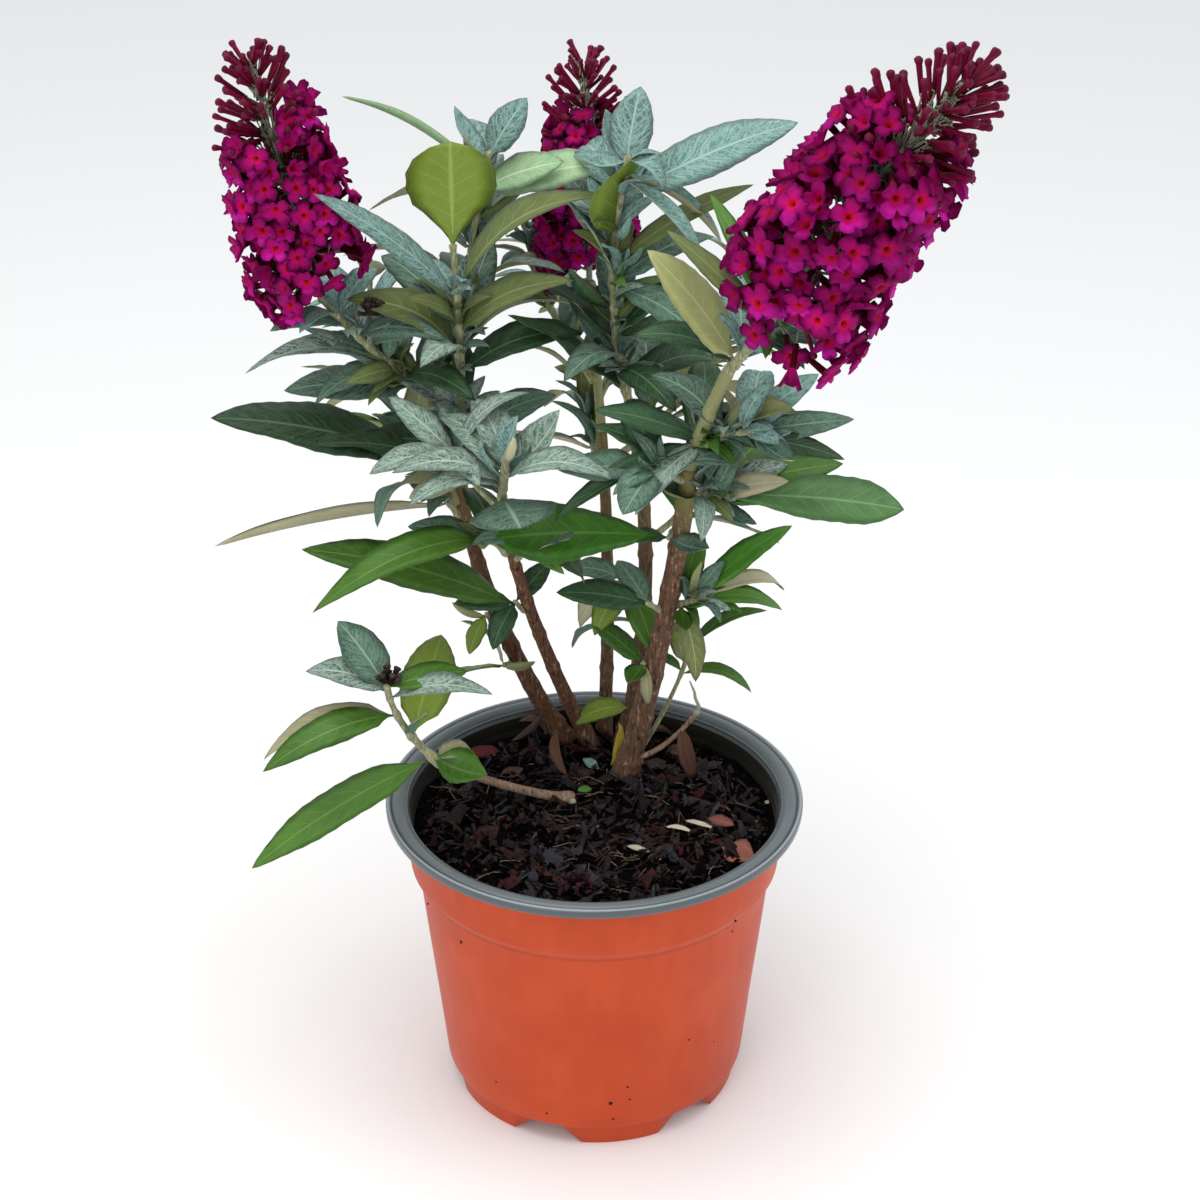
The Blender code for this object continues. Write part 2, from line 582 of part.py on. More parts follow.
def build_spike(name, spec, limbs, clearances):
    """A flower spike: a dense core with flowers below and buds towards the tip."""
    below, tip, bow, widest = spec
    parent = limbs[below]
    start, normal = spring_from(parent, 1.0, 0)
    axis = Limb(start, tip, bow, SPIKE_STALK_RADIUS, SPIKE_STALK_RADIUS, foot_normal=normal)
    bm = bmesh.new()
    rings = [ring(bm, start, normal, SPIKE_STALK_RADIUS, LIMB_SIDES),
             ring(bm, axis.point(0.05), axis.tangent(0.05), SPIKE_STALK_RADIUS, LIMB_SIDES)]
    for t in (0.14, 0.36, 0.58, 0.80, 1.0):
        share = SPIKE_CORE_SHARE if t < FLOWERS_END else SPIKE_TOP_SHARE
        reach = spike_radius(t, widest) * share if t < 1 else BUD_RADIUS
        rings.append(ring(bm, axis.point(t), axis.tangent(t), reach, LIMB_SIDES))
    loft(bm, rings)
    clearances.add(name, bm)
    core = link_object(name, bm)
    rng = random.Random(name)
    parts = []
    for index in range(FLOWER_COUNT + BUD_COUNT):
        flower = index < FLOWER_COUNT
        if flower:
            t = 0.06 + (FLOWERS_END - 0.06) * (index + 0.5) / FLOWER_COUNT
        else:
            t = FLOWERS_END + (0.99 - FLOWERS_END) * (index - FLOWER_COUNT + 0.5) / BUD_COUNT
        turn = GOLDEN_TURN * index
        along = axis.tangent(t)
        across = along.cross(Vector((0, 1, 0))).normalized()
        outward = Matrix.Rotation(turn, 3, along) @ across
        facing = outward + along * (1.6 * (t - 0.30) if flower else 0.4 + 2.0 * (t - FLOWERS_END))
        facing.normalize()
        reach = spike_radius(t, widest) * rng.uniform(0.92, 1.0)
        foot = axis.point(t) + facing * 1.0
        end = axis.point(t) + facing * reach
        if flower:
            part = flower_mesh(foot, end, facing, FLOWER_RADIUS * (1.0 if t < 0.55 else 0.8))
        else:
            part = bud_mesh(foot, end + facing * 2.0, BUD_RADIUS)
        if clearances.free(name, part):
            clearances.add(name, part)
            parts.append(link_object("part", part))
    join_all(core, parts)
    finish_object(core, MAGENTA, smooth=False)


def build_plant():
    clearances = Clearances()
    limbs = {}
    for name, (foot, tip, bow, foot_radius, tip_radius) in CANES.items():
        limbs[name] = Limb(foot, tip, bow, foot_radius, tip_radius, flare=FOOT_FLARE)
    for name, (parent, place, heading, tip, bow, foot_radius, tip_radius) in BOUGHS.items():
        start, normal = spring_from(limbs[parent], place, heading)
        limbs[name] = Limb(start, tip, bow, foot_radius, tip_radius, normal)
    for name, limb in limbs.items():
        bm = limb.mesh(LIMB_SIDES, 8 if name in CANES else 5)
        clearances.add(name, bm)
        finish_object(link_object(name, bm), BROWN_BARK if name in CANES else GREEN_BARK)
    twigs = {}
    for name, spec in {**SHOOTS, **BACK_SHOOTS}.items():
        parent, place, heading, tip, bow, foot_radius = spec[:6]
        start, normal = spring_from(limbs[parent], place, heading)
        limbs[name] = Limb(start, tip, bow, foot_radius, foot_radius * 0.65, normal)
        bm = limbs[name].mesh(TWIG_SIDES, 4)
        clearances.add(name, bm)
        twigs[name] = link_object(name, bm)
    for name, spec in SPIKES.items():
        build_spike(name, spec, limbs, clearances)
    for name, twig in twigs.items():
        if name in SHOOTS:
            leaves = SHOOTS[name][6]
        else:
            leaves = rule_leaves(limbs[name], *BACK_SHOOTS[name][6:], seed=name)
        blades = place_leaves(name, limbs[name], leaves, clearances)
        print(name, "has", len(blades), "of", len(leaves), "leaves")
        join_all(twig, blades)
        finish_object(twig, LEAF_GREEN, smooth=False)


clear_scene()
build_pot()
build_plant()
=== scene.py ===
# Looks of a young butterfly bush in its nursery pot: pot, bark mulch, canes, leafy shoots and flower spikes.
# Sizes are in millimetres, angles in degrees. A heading turns from +X towards +Y, a lift rises from level.
import math
import random
from functools import cache, partial

import bmesh
import bpy
import numpy as np
from mathutils import Matrix, Vector, noise


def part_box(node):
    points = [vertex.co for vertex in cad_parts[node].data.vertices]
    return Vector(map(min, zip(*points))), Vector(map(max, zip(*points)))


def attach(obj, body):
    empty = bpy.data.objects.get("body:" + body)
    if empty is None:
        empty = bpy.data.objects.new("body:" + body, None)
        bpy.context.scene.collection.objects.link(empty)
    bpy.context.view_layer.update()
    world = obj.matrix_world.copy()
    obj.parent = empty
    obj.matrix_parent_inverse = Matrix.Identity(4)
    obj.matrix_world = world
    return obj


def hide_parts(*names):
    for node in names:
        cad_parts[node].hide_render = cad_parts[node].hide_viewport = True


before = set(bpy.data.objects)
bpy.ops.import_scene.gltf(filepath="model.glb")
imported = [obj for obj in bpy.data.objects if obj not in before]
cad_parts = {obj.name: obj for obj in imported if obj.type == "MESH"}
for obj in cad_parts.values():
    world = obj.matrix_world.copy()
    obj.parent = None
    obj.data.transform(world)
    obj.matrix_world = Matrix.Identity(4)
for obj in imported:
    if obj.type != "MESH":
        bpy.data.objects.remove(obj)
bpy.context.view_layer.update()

mm = 0.001
up = np.array((0.0, 0.0, 1.0))
sideways = (0.31, 0.95, 0.05)  # along no limb, for a first line across it
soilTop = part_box("soil")[1].z / mm


# Camera, light and floor

studio = {
    "cameraPlace": (2.3, -935, 712), "pitch": 27.7, "lens": 80.7,
    "floor": "#f4f3f1", "floorRadius": 9000, "air": "#eef2f7", "airStrength": 0.92,
    # name: place, aims at, width, watts, colour
    "lamps": {
        "skyPanel": ((-150, -120, 1350), (0, 20, 200), 1100, 9, "#fffdf8"),
        "frontPanel": ((-500, -1250, 620), (0, 20, 230), 800, 4, "#ffffff"),
        "sidePanel": ((1050, -250, 620), (0, 20, 230), 600, 2, "#f6f9ff"),
    },
}


def linear(code):
    # An sRGB hex value as linear light.
    values = [int(code[i:i + 2], 16) / 255 for i in (1, 3, 5)]
    return tuple(v / 12.92 if v <= 0.04045 else ((v + 0.055) / 1.055) ** 2.4 for v in values) + (1.0,)


def setUp(tree, node, settings):
    # A setting is a property, a ramp's stops, or an input: its value, or the node or socket that feeds it.
    for key, value in settings.items():
        if key == "stops":
            elements = node.color_ramp.elements
            for place, code in value[len(elements):]:
                elements.new(place)
            for element, (place, code) in zip(elements, value):
                element.position, element.color = place, linear(code)
        elif isinstance(key, str) and hasattr(node, key):
            setattr(node, key, value)
        elif isinstance(value, bpy.types.Node):
            tree.links.new(next(socket for socket in value.outputs if socket.enabled), node.inputs[key])
        elif isinstance(value, bpy.types.NodeSocket):
            tree.links.new(value, node.inputs[key])
        else:
            node.inputs[key].default_value = value


def addNode(tree, kind, settings):
    # Adds a node with its settings and links.
    node = tree.nodes.new("ShaderNode" + kind)
    setUp(tree, node, settings)
    return node


def newMaterial(name, settings):
    # The material, what adds a node to it, and what sets up its shader.
    mat = bpy.data.materials.new(name)
    mat.use_nodes = True
    setShader = partial(setUp, mat.node_tree, mat.node_tree.nodes["Principled BSDF"])
    setShader(settings)
    return mat, partial(addNode, mat.node_tree), setShader


def makeStudio():
    scene = bpy.context.scene
    camera = bpy.data.objects.new("camera", bpy.data.cameras.new("camera"))
    scene.collection.objects.link(camera)
    camera.location = Vector(studio["cameraPlace"]) * mm
    camera.rotation_euler = (math.radians(90 - studio["pitch"]), 0, 0)
    camera.data.lens = studio["lens"]
    camera.data.sensor_width = 36
    scene.camera = camera
    for name, (place, aim, width, watts, colour) in studio["lamps"].items():
        lamp = bpy.data.lights.new(name, "AREA")
        lamp.size = width * mm
        lamp.energy = watts
        lamp.color = linear(colour)[:3]
        obj = bpy.data.objects.new(name, lamp)
        scene.collection.objects.link(obj)
        obj.location = Vector(place) * mm
        obj.rotation_euler = (Vector(aim) - Vector(place)).to_track_quat("-Z", "Y").to_euler()
    scene.world = bpy.data.worlds.new("air")
    scene.world.use_nodes = True
    air = scene.world.node_tree.nodes["Background"]
    air.inputs["Color"].default_value = linear(studio["air"])
    air.inputs["Strength"].default_value = studio["airStrength"]
    scene.view_settings.view_transform = "Standard"
    scene.view_settings.look = "None"
    bm = bmesh.new()
    bmesh.ops.create_circle(bm, cap_ends=True, segments=96, radius=studio["floorRadius"])
    paint = newMaterial("paintedFloor", {
        "Base Color": linear(studio["floor"]), "Roughness": 0.9, "Specular IOR Level": 0.2})[0]
    floor = finishMesh(bm, "floor", paint)
    scene.collection.objects.link(floor)


# Meshes joined from many small shapes

class Bundle:
    # Collects points, faces, the material of each face, and a UV and a tint for each point.
    def __init__(self):
        self.points, self.uvs, self.tints, self.faces, self.slots = [], [], [], [], []
        self.count = 0

    def add(self, points, faces, slots, uvs=None, tint=0.5):
        count = len(points)
        self.points.append(np.asarray(points, float))
        self.uvs.append(np.zeros((count, 2)) if uvs is None else np.asarray(uvs, float))
        self.tints.append(np.full(count, tint))
        self.faces += [[i + self.count for i in face] for face in faces]
        self.slots += [slots] * len(faces) if isinstance(slots, int) else list(slots)
        self.count += count

    def addTube(self, points, radii, sides, slot):
        self.add(*tubeRings(points, radii, sides), slot)

    def build(self, name, materials, slotName, nodes=(), smooth=True):
        mesh = bpy.data.meshes.new(name)
        points = np.concatenate(self.points) * mm
        mesh.from_pydata(points.tolist(), [], self.faces)
        for mat in materials:
            mesh.materials.append(mat)
        mesh.polygons.foreach_set("material_index", self.slots)
        mesh.polygons.foreach_set("use_smooth", [smooth] * len(self.faces))
        corners = np.zeros(len(mesh.loops), int)
        mesh.loops.foreach_get("vertex_index", corners)
        blade = mesh.uv_layers.new(name="blade")
        blade.data.foreach_set("uv", np.concatenate(self.uvs)[corners].ravel())
        tint = mesh.attributes.new("tint", "FLOAT", "POINT")
        tint.data.foreach_set("value", np.concatenate(self.tints))
        bm = bmesh.new()
        bm.from_mesh(mesh)
        bmesh.ops.recalc_face_normals(bm, faces=bm.faces)
        bm.to_mesh(mesh)
        bm.free()
        dress(bpy.data.objects.new(name, mesh), nodes)


def dress(piece, nodes):
    # Puts a piece in the scene, on the pot's body, in place of solids.
    bpy.context.scene.collection.objects.link(piece)
    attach(piece, "root")
    if nodes:
        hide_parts(*nodes)


def finishMesh(bm, name, material, sharpFrom=None):
    # Makes the object of a bmesh in mm; edges sharper than an angle stay sharp.
    bmesh.ops.scale(bm, vec=(mm, mm, mm), verts=bm.verts)
    mesh = bpy.data.meshes.new(name)
    bm.to_mesh(mesh)
    bm.free()
    mesh.materials.append(material)
    mesh.shade_smooth()
    if sharpFrom:
        mesh.set_sharp_from_angle(angle=math.radians(sharpFrom))
    return bpy.data.objects.new(name, mesh)


def extruded(bm, edges):
    # Extrudes a ring of edges: the new edges and the new points.
    made = bmesh.ops.extrude_edge_only(bm, edges=edges)["geom"]
    kinds = bmesh.types.BMEdge, bmesh.types.BMVert
    return [[part for part in made if isinstance(part, kind)] for kind in kinds]


def unit(vector):
    vector = np.asarray(vector, float)
    return vector / max(np.linalg.norm(vector), 1e-9)


def turned(vector, axis, degrees):
    angle = math.radians(degrees)
    vector, axis = np.asarray(vector, float), np.asarray(axis, float)
    return (vector * math.cos(angle) + np.cross(axis, vector) * math.sin(angle)
            + axis * (axis @ vector) * (1 - math.cos(angle)))


def direction(heading, lift=0.0):
    turn, rise = math.radians(heading), math.radians(lift)
    return np.array((math.cos(turn) * math.cos(rise), math.sin(turn) * math.cos(rise), math.sin(rise)))


def frameFrom(z, spin=0.0):
    # Three unit vectors as rows, the last along z.
    z = unit(z)
    x = turned(unit(np.cross(z, sideways)), z, spin)
    return np.array((x, np.cross(z, x), z))


def placed(points, axes, origin):
    # Points of a shape set along three axes at a place.
    return np.asarray(origin) + points @ axes


def scatter(rng, amount):
    return np.array([rng.uniform(-amount, amount) for _ in range(3)])


def sleeve(rings, sides):
    # Quads between rings of points that are numbered ring by ring.
    return [(r + i, r + (i + 1) % sides, r + sides + (i + 1) % sides, r + sides + i)
            for r in range(0, (rings - 1) * sides, sides) for i in range(sides)]


def tubeRings(points, radii, sides):
    # A tube through points, flat at both ends: its vertices and faces.
    points = np.asarray(points, float)
    angles = np.arange(sides) * math.tau / sides
    rows = []
    side = None
    for i, point in enumerate(points):
        along = unit(points[min(i + 1, len(points) - 1)] - points[max(i - 1, 0)])
        side = np.cross(along, sideways) if side is None else side - along * (side @ along)
        side = unit(side)
        other = np.cross(along, side)
        rows.append(point + (np.outer(np.cos(angles), side) + np.outer(np.sin(angles), other)) * radii[i])
    count = len(rows) * sides
    caps = [tuple(range(sides))[::-1], tuple(range(count - sides, count))]
    return np.concatenate(rows), sleeve(len(rows), sides) + caps


# Limbs: the same lines as the solids, foot, tip, bow of the middle, foot and tip radius

gap = 0.3
soilLine = soilTop + gap
canes = {
    "cane_left": ((-13, 64, soilLine), (-55, 46, 251), (-6, 2, -3), 3.9, 2.5),
    "cane_front": ((-2, 60, soilLine), (-36, 2, 259), (-4, 2, 0), 3.2, 2.0),
    "cane_right": ((13, 35, soilLine), (37, 8, 275), (3, 2, 0), 4.9, 3.4),
    "cane_centre": ((12, 59, soilLine), (14, 42, 286), (8, 0, 0), 3.4, 2.4),
    "cane_back": ((4, 68, soilLine), (3, 82, 257), (2, 0, 0), 2.9, 2.2),
    "branch_low": ((-12, 15, soilLine), (-61, -21, 159), (0, 5, -5), 2.0, 1.5),
}
boughs = {
    "bough_left": ("cane_left", 0.95, 215, (-66, 38, 293), (-2, 0, 0), 2.1, 1.8),
    "bough_right": ("cane_right", 1.0, 0, (50, -15, 325), (-1, 0, 0), 3.1, 2.3),
    "bough_back": ("cane_back", 1.0, 0, (-2, 88, 321), (0, 0, 0), 2.0, 1.6),
    "twig_dry": ("cane_right", 0.08, 330, (42, 24, 156), (0, 0, -3), 1.2, 0.9),
}
footFlare = 1.3


class Limb:
    # A tapering stem along a bowed line from foot to tip.
    def __init__(self, start, end, bow, footRadius, tipRadius, flare=0.0):
        self.start, self.end, self.bow = (np.array(v, float) for v in (start, end, bow))
        self.footRadius, self.tipRadius, self.flare = footRadius, tipRadius, flare

    def point(self, t):
        return self.start + (self.end - self.start) * t + self.bow * (4 * t * (1 - t))

    def tangent(self, t):
        return unit(self.end - self.start + self.bow * (4 - 8 * t))

    def radius(self, t):
        flare = self.flare * math.exp(-18 * max(t, 0))
        return self.footRadius + (self.tipRadius - self.footRadius) * t + flare

    def length(self):
        return float(np.linalg.norm(self.end - self.start))


def springFrom(parent, place, heading):
    # Where a shoot leaves its limb.
    axis = parent.tangent(place)
    if place >= 1.0:
        return parent.end + axis * gap
    away = direction(heading)
    away = unit(away - axis * (away @ axis))
    return parent.point(place) + away * (parent.radius(place) + gap)


# Leaves

leafBlade = {
    "veins": 8, "thickness": 0.45, "pillow": 0.03, "teeth": 0.018, "forwardVeins": 0.06, "veinSlope": 1.15,
    "petioleRadius": 0.6, "faceTilt": 24, "crownMiddle": 50, "looseRoll": 12,
}
# habit: arch along the blade, droop of the tip, fold at the midrib, roll-under of the margins, ruffle, twist
habits = {
    "flat": (0.05, -0.03, 0.12, 0.05, 0.05, 0),
    "broad": (0.04, -0.02, 0.10, 0.05, 0.06, 0),
    "arched": (0.14, -0.12, 0.30, 0.10, 0.08, 14),
    "bowed": (0.25, 0.0, 0.40, 0.10, 0.06, 12),
    "hooked": (0.12, -0.30, 0.38, 0.10, 0.06, 20),
    "folded": (0.06, -0.05, 0.95, 0.0, 0.05, 8),
    "cupped": (-0.15, 0.03, 0.55, -0.10, 0.05, 6),
    "wavy": (0.05, -0.06, 0.20, 0.05, 0.16, 25),
    "curled": (0.14, -0.30, 0.60, 0.0, 0.10, 40),
    "oval": (0.03, 0.0, 0.08, 0.05, 0.03, 0),
    "keeled": (0.02, -0.02, 0.95, 0.0, 0.05, 4),
}


@cache
def leafGrid(rows):
    # Faces of a closed blade: five columns above, three more below, a point at each end.
    # Both sides are cut along the same diagonals, so that neither comes through the other.
    top = np.zeros((rows, 5), int)
    top[1:-1] = 1 + 8 * np.arange(rows - 2)[:, None] + np.arange(5)
    low = top.copy()
    low[1:-1, 1:4] = top[1:-1, :1] + (5, 6, 7)
    last = 8 * (rows - 2) + 1
    top[-1] = low[-1] = last
    faces, under = [], []
    for grid, isUnder in ((top, 0), (low, 1)):
        for r in range(rows - 1):
            for c in range(4):
                (a, b), (near, far) = grid[r:r + 2, c:c + 2].tolist()
                for face in ((a, b, near), (b, far, near)) if c > 1 else ((a, b, far), (a, far, near)):
                    if len(set(face)) == 3:
                        faces.append(face[::-1] if isUnder else face)
                        under.append(isUnder)
    return faces, under, last + 1


def bladeWidth(s, habit):
    # Share of the full width along the blade: lance-shaped, broad nearer the tip, or a blunt oval.
    s = np.clip(s, 0, 1)
    if habit == "oval":
        return np.sin(np.pi * s ** 1.22) ** 0.62 * np.clip((s - 0.02) / 0.34, 0, 1) ** 0.62
    body = np.sin(np.pi * s ** (1.45 if habit == "broad" else 0.82)) ** 0.80
    return body * np.clip((s - 0.02) / 0.15, 0, 1) ** 0.9


def addLeaf(bundle, base, along, side, length, width, habit, slots, rng):
    arch, droop, fold, rollUnder, ruffle, twist = habits[habit]
    veins = max(5, round(leafBlade["veins"] * min(1.2, length / 55)))
    rows = 2 * veins + 3
    s = np.linspace(0, 1, rows)
    swell = 4 * s * (1 - s)
    lift = unit(np.cross(along, side))
    arch *= rng.uniform(0.85, 1.15)
    spine = base + np.outer(s, along) * length + np.outer(arch * swell + droop * s ** 3, lift) * length
    steps = np.gradient(spine, axis=0)
    tangents = steps / np.linalg.norm(steps, axis=1)[:, None]
    twist *= rng.uniform(-1, 1)
    across = np.array([turned(unit(side - tangent * (side @ tangent)), tangent, twist * share)
                       for tangent, share in zip(tangents, s)])
    above = np.cross(tangents, across)
    half = np.maximum(width / 2 * bladeWidth(s, habit), leafBlade["petioleRadius"])[:, None]
    half[0] = half[-1] = 0
    # Five points across, and how far each row is from one side vein to the next.
    columns = np.array((-1, -0.52, 0, 0.52, 1))
    x = np.abs(columns)
    phase = np.linspace(0, veins + 1, rows)
    sloped = phase[:, None] - leafBlade["veinSlope"] * x
    ridge = np.abs(sloped % 1.0 - 0.5) * 2
    tooth = np.abs(phase % 1.0 - 0.5) * 2
    reach = half * columns
    reach[:, [0, 4]] *= (1 + leafBlade["teeth"] * (1 - 2 * tooth))[:, None]
    wave = rng.uniform(0, math.tau)
    beat = rng.uniform(1.6, 2.6)
    height = half * (fold * x - rollUnder * x ** 2)
    height += leafBlade["pillow"] * width * (1 - ridge) * (x * (1 - x) * 4)
    height += ruffle * half * np.sin(math.tau * beat * s[:, None] + wave * np.sign(columns)) * x ** 2
    forward = leafBlade["forwardVeins"] * length * swell[:, None] * x
    upper = spine[:, None] + (across[:, None] * reach[..., None] + above[:, None] * height[..., None]
                              + tangents[:, None] * forward[..., None])
    # Thicker along the midrib and most at the leaf's stalk.
    depth = np.full((rows, 3), leafBlade["thickness"])
    depth[:, 1] += 0.45 * np.clip(1.1 - s, 0, 1) + 0.6 * np.clip(1 - s / 0.14, 0, 1)
    lower = upper[:, 1:4] - above[:, None] * depth[..., None]
    faces, under, count = leafGrid(rows)
    points, uvs = np.zeros((count, 3)), np.zeros((count, 2))
    points[0], points[-1] = spine[0], spine[-1]
    points[1:-1] = np.concatenate((upper[1:-1], lower[1:-1]), axis=1).reshape(-1, 3)
    uvs[-1] = (0, phase[-1])
    uvs[1:-1, 0] = np.tile(np.concatenate((x, x[1:4])), rows - 2)
    uvs[1:-1, 1] = np.concatenate((sloped, sloped[:, 1:4]), axis=1)[1:-1].ravel()
    bundle.add(points, faces, [slots[isUnder] for isUnder in under], uvs, rng.random())


leafColours = {
    # name: base, deeper, veins, share of veins, share of fine net, roughness, sheen
    "silverLeaf": ("#5e8378", "#436459", "#a3c3bc", 0.62, 0.72, 0.75, 0.10),
    "frostLeaf": ("#5b7966", "#34493c", "#c2d4c8", 0.62, 0.66, 0.70, 0.08),
    "greyLeaf": ("#496b56", "#2b4633", "#90ab9a", 0.58, 0.40, 0.62, 0.05),
    "darkLeaf": ("#2f5131", "#1a3419", "#668a63", 0.50, 0.20, 0.48, 0.0),
    "greenLeaf": ("#4b7724", "#335818", "#7fa056", 0.34, 0.06, 0.42, 0.0),
    "deepLeaf": ("#4a8628", "#2f6013", "#74a54a", 0.32, 0.04, 0.40, 0.0),
    "sageLeaf": ("#5f8c50", "#456f38", "#93b385", 0.40, 0.10, 0.48, 0.02),
    # yellow-green of young leaves, brightened as painted light for light shining through the blade
    "backlitLimeLeaf": ("#768b30", "#617722", "#9aae5c", 0.45, 0.05, 0.50, 0.0),
    "feltUnderside": ("#b1ac8a", "#8f8b66", "#cdc9ae", 0.55, 0.15, 0.85, 0.15),
    "khakiUnderside": ("#868b59", "#676d3d", "#b1b183", 0.55, 0.12, 0.75, 0.10),
    "oliveUnderside": ("#65723f", "#4a5829", "#949d66", 0.50, 0.10, 0.65, 0.06),
    "paleUnderside": ("#7d9a62", "#5d7a46", "#bccca6", 0.55, 0.15, 0.75, 0.12),
    "milkLeaf": ("#98b88c", "#7aa070", "#ccdcc0", 0.55, 0.30, 0.80, 0.12),
    "strawLeaf": ("#abae72", "#8f9354", "#c8ca9c", 0.45, 0.08, 0.75, 0.08),
    "yellowLeaf": ("#c2ae34", "#7a4d1c", "#d8cc6c", 0.30, 0.05, 0.55, 0.05),
    "deadLeaf": ("#5e4031", "#35241b", "#80614c", 0.45, 0.20, 0.85, 0.05),
    "redLeaf": ("#5e2124", "#331014", "#7d3c3c", 0.45, 0.10, 0.70, 0.0),
    "pinkLeaf": ("#96584c", "#6a3a32", "#b07e70", 0.45, 0.20, 0.75, 0.0),
    "plumLeaf": ("#2f2a36", "#1c1822", "#403a49", 0.45, 0.20, 0.55, 0.0),
    "chaff": ("#c9bfa6", "#a0947a", "#ddd5c0", 0.40, 0.05, 0.70, 0.0),
}
# finish: the material of the upper side and of the underside
finishes = {
    "silver": ("silverLeaf", "feltUnderside"), "grey": ("greyLeaf", "feltUnderside"),
    "frost": ("frostLeaf", "khakiUnderside"), "fresh": ("silverLeaf", "backlitLimeLeaf"),
    "dark": ("darkLeaf", "khakiUnderside"), "green": ("greenLeaf", "khakiUnderside"),
    "deep": ("deepLeaf", "oliveUnderside"), "sage": ("sageLeaf", "khakiUnderside"),
    "lime": ("backlitLimeLeaf", "backlitLimeLeaf"), "pearl": ("milkLeaf", "milkLeaf"),
    "khaki": ("greyLeaf", "khakiUnderside"), "olive": ("darkLeaf", "oliveUnderside"),
    "pale": ("silverLeaf", "paleUnderside"), "felt": ("greenLeaf", "feltUnderside"),
    "yellow": ("yellowLeaf", "yellowLeaf"), "dead": ("deadLeaf", "deadLeaf"),
    "beige": ("feltUnderside", "greyLeaf"), "open": ("khakiUnderside", "greyLeaf"),
    "moss": ("oliveUnderside", "darkLeaf"), "milk": ("milkLeaf", "silverLeaf"),
    "straw": ("strawLeaf", "greyLeaf"),
    "red": ("redLeaf", "redLeaf"), "pink": ("pinkLeaf", "pinkLeaf"), "rust": ("pinkLeaf", "redLeaf"),
    "plum": ("plumLeaf", "plumLeaf"), "chaff": ("chaff", "chaff"),
}


def leafSlots(finish):
    # The material numbers of a blade's upper side and underside.
    return [list(leafColours).index(side) for side in finishes[finish]]


def leafMaterials():
    # Felted or leathery leaf tissue: pale sunken veins on a mottled green, and fine hairs that scatter light.
    made = []
    for name, (base, deeper, veins, ribs, net, roughness, sheen) in leafColours.items():
        mat, add, setShader = newMaterial(name, {
            "Roughness": roughness, "Specular IOR Level": 0.28, "Sheen Weight": sheen,
            "Sheen Roughness": 0.5})
        place = add("TexCoord", {}).outputs["Object"]
        uv = add("UVMap", {"uv_map": "blade"})
        drift = add("TexNoise", {"Scale": 170, "Detail": 2, "Vector": place})
        # The blade's UV: share of the way from the midrib to the margin, and the number of the vein.
        across, along, _ = add("SeparateXYZ", {"Vector": uv}).outputs
        shift = add("Math", {"operation": "MULTIPLY_ADD", 0: drift, 1: 0.7, 2: along})
        middle = add("Math", {"operation": "SUBTRACT", 0: shift, 1: 0.35})
        beat = add("Math", {"operation": "PINGPONG", 0: middle, 1: 0.5})
        fade = add("MapRange", {
            "Value": across, "From Min": 0.2, "From Max": 0.95, "To Min": ribs, "To Max": ribs * 0.25})
        sideVein = add("MapRange", {"Value": beat, "From Max": 0.065, "To Min": fade, "To Max": 0})
        midrib = add("MapRange", {
            "Value": across, "From Min": 0.02, "From Max": 0.08, "To Min": ribs * 1.3, "To Max": 0})
        ripple = add("TexNoise", {"Scale": 700, "Detail": 2, "Vector": place}).outputs["Color"]
        warp = add("VectorMath", {"operation": "SCALE", 0: ripple, "Scale": 0.0022})
        wander = add("VectorMath", {"operation": "ADD", 0: place, 1: warp})
        netting = add("TexVoronoi", {"feature": "DISTANCE_TO_EDGE", "Scale": 360, "Vector": wander})
        mesh = add("MapRange", {"Value": netting, "From Max": 0.10, "To Min": net * 0.8, "To Max": 0})
        tint = add("Attribute", {"attribute_name": "tint"}).outputs["Fac"]
        start = add("Math", {"operation": "MULTIPLY", 0: tint, 1: 40})
        slope = add("CombineXYZ", {"X": across, "Y": shift, "Z": start})
        stroke = add("Mapping", {"Scale": (2.2, 5.5, 1), "Vector": slope})
        hairs = add("TexNoise", {"Scale": 1, "Detail": 4, "Roughness": 0.62, "Vector": stroke})
        felt = add("MapRange", {"Value": hairs, "From Min": 0.44, "From Max": 0.66, "To Max": net})
        # A pale line along the margin: partly the felted edge of the blade, partly a painted highlight where
        # the edge catches the light.
        paleMarginAndHighlight = add("MapRange", {"Value": across, "From Min": 0.86, "To Max": ribs})
        lines = sideVein
        for other in (midrib, mesh, felt, paleMarginAndHighlight):
            lines = add("Math", {"operation": "MAXIMUM", 0: lines, 1: other})
        patches = add("TexNoise", {"Scale": 95, "Detail": 4, "Roughness": 0.6, "Vector": place})
        depth = add("Math", {"operation": "MULTIPLY_ADD", 0: tint, 1: 0.7, 2: patches})
        share = add("MapRange", {"Value": depth, "From Min": 0.45, "From Max": 1.15})
        body = add("Mix", {"data_type": "RGBA", 0: share, 6: linear(base), 7: linear(deeper)})
        fibre = add("TexNoise", {"Scale": 1400, "Detail": 2, "Vector": place})
        colour = add("Mix", {"data_type": "RGBA", 0: lines, 6: body, 7: linear(veins)})
        relief = add("Math", {"operation": "MULTIPLY_ADD", 0: lines, 1: -1.2, 2: fibre})
        bump = add("Bump", {"Strength": 0.35, "Distance": 0.0003, "Height": relief})
        setShader({"Base Color": colour, "Normal": bump})
        made.append(mat)
    return made


# Shoots: limb, place, heading, tip, bow, foot radius, then the leaves as
# (place, heading, lift, length, width, finish, habit, and the roll where it is not left loose)

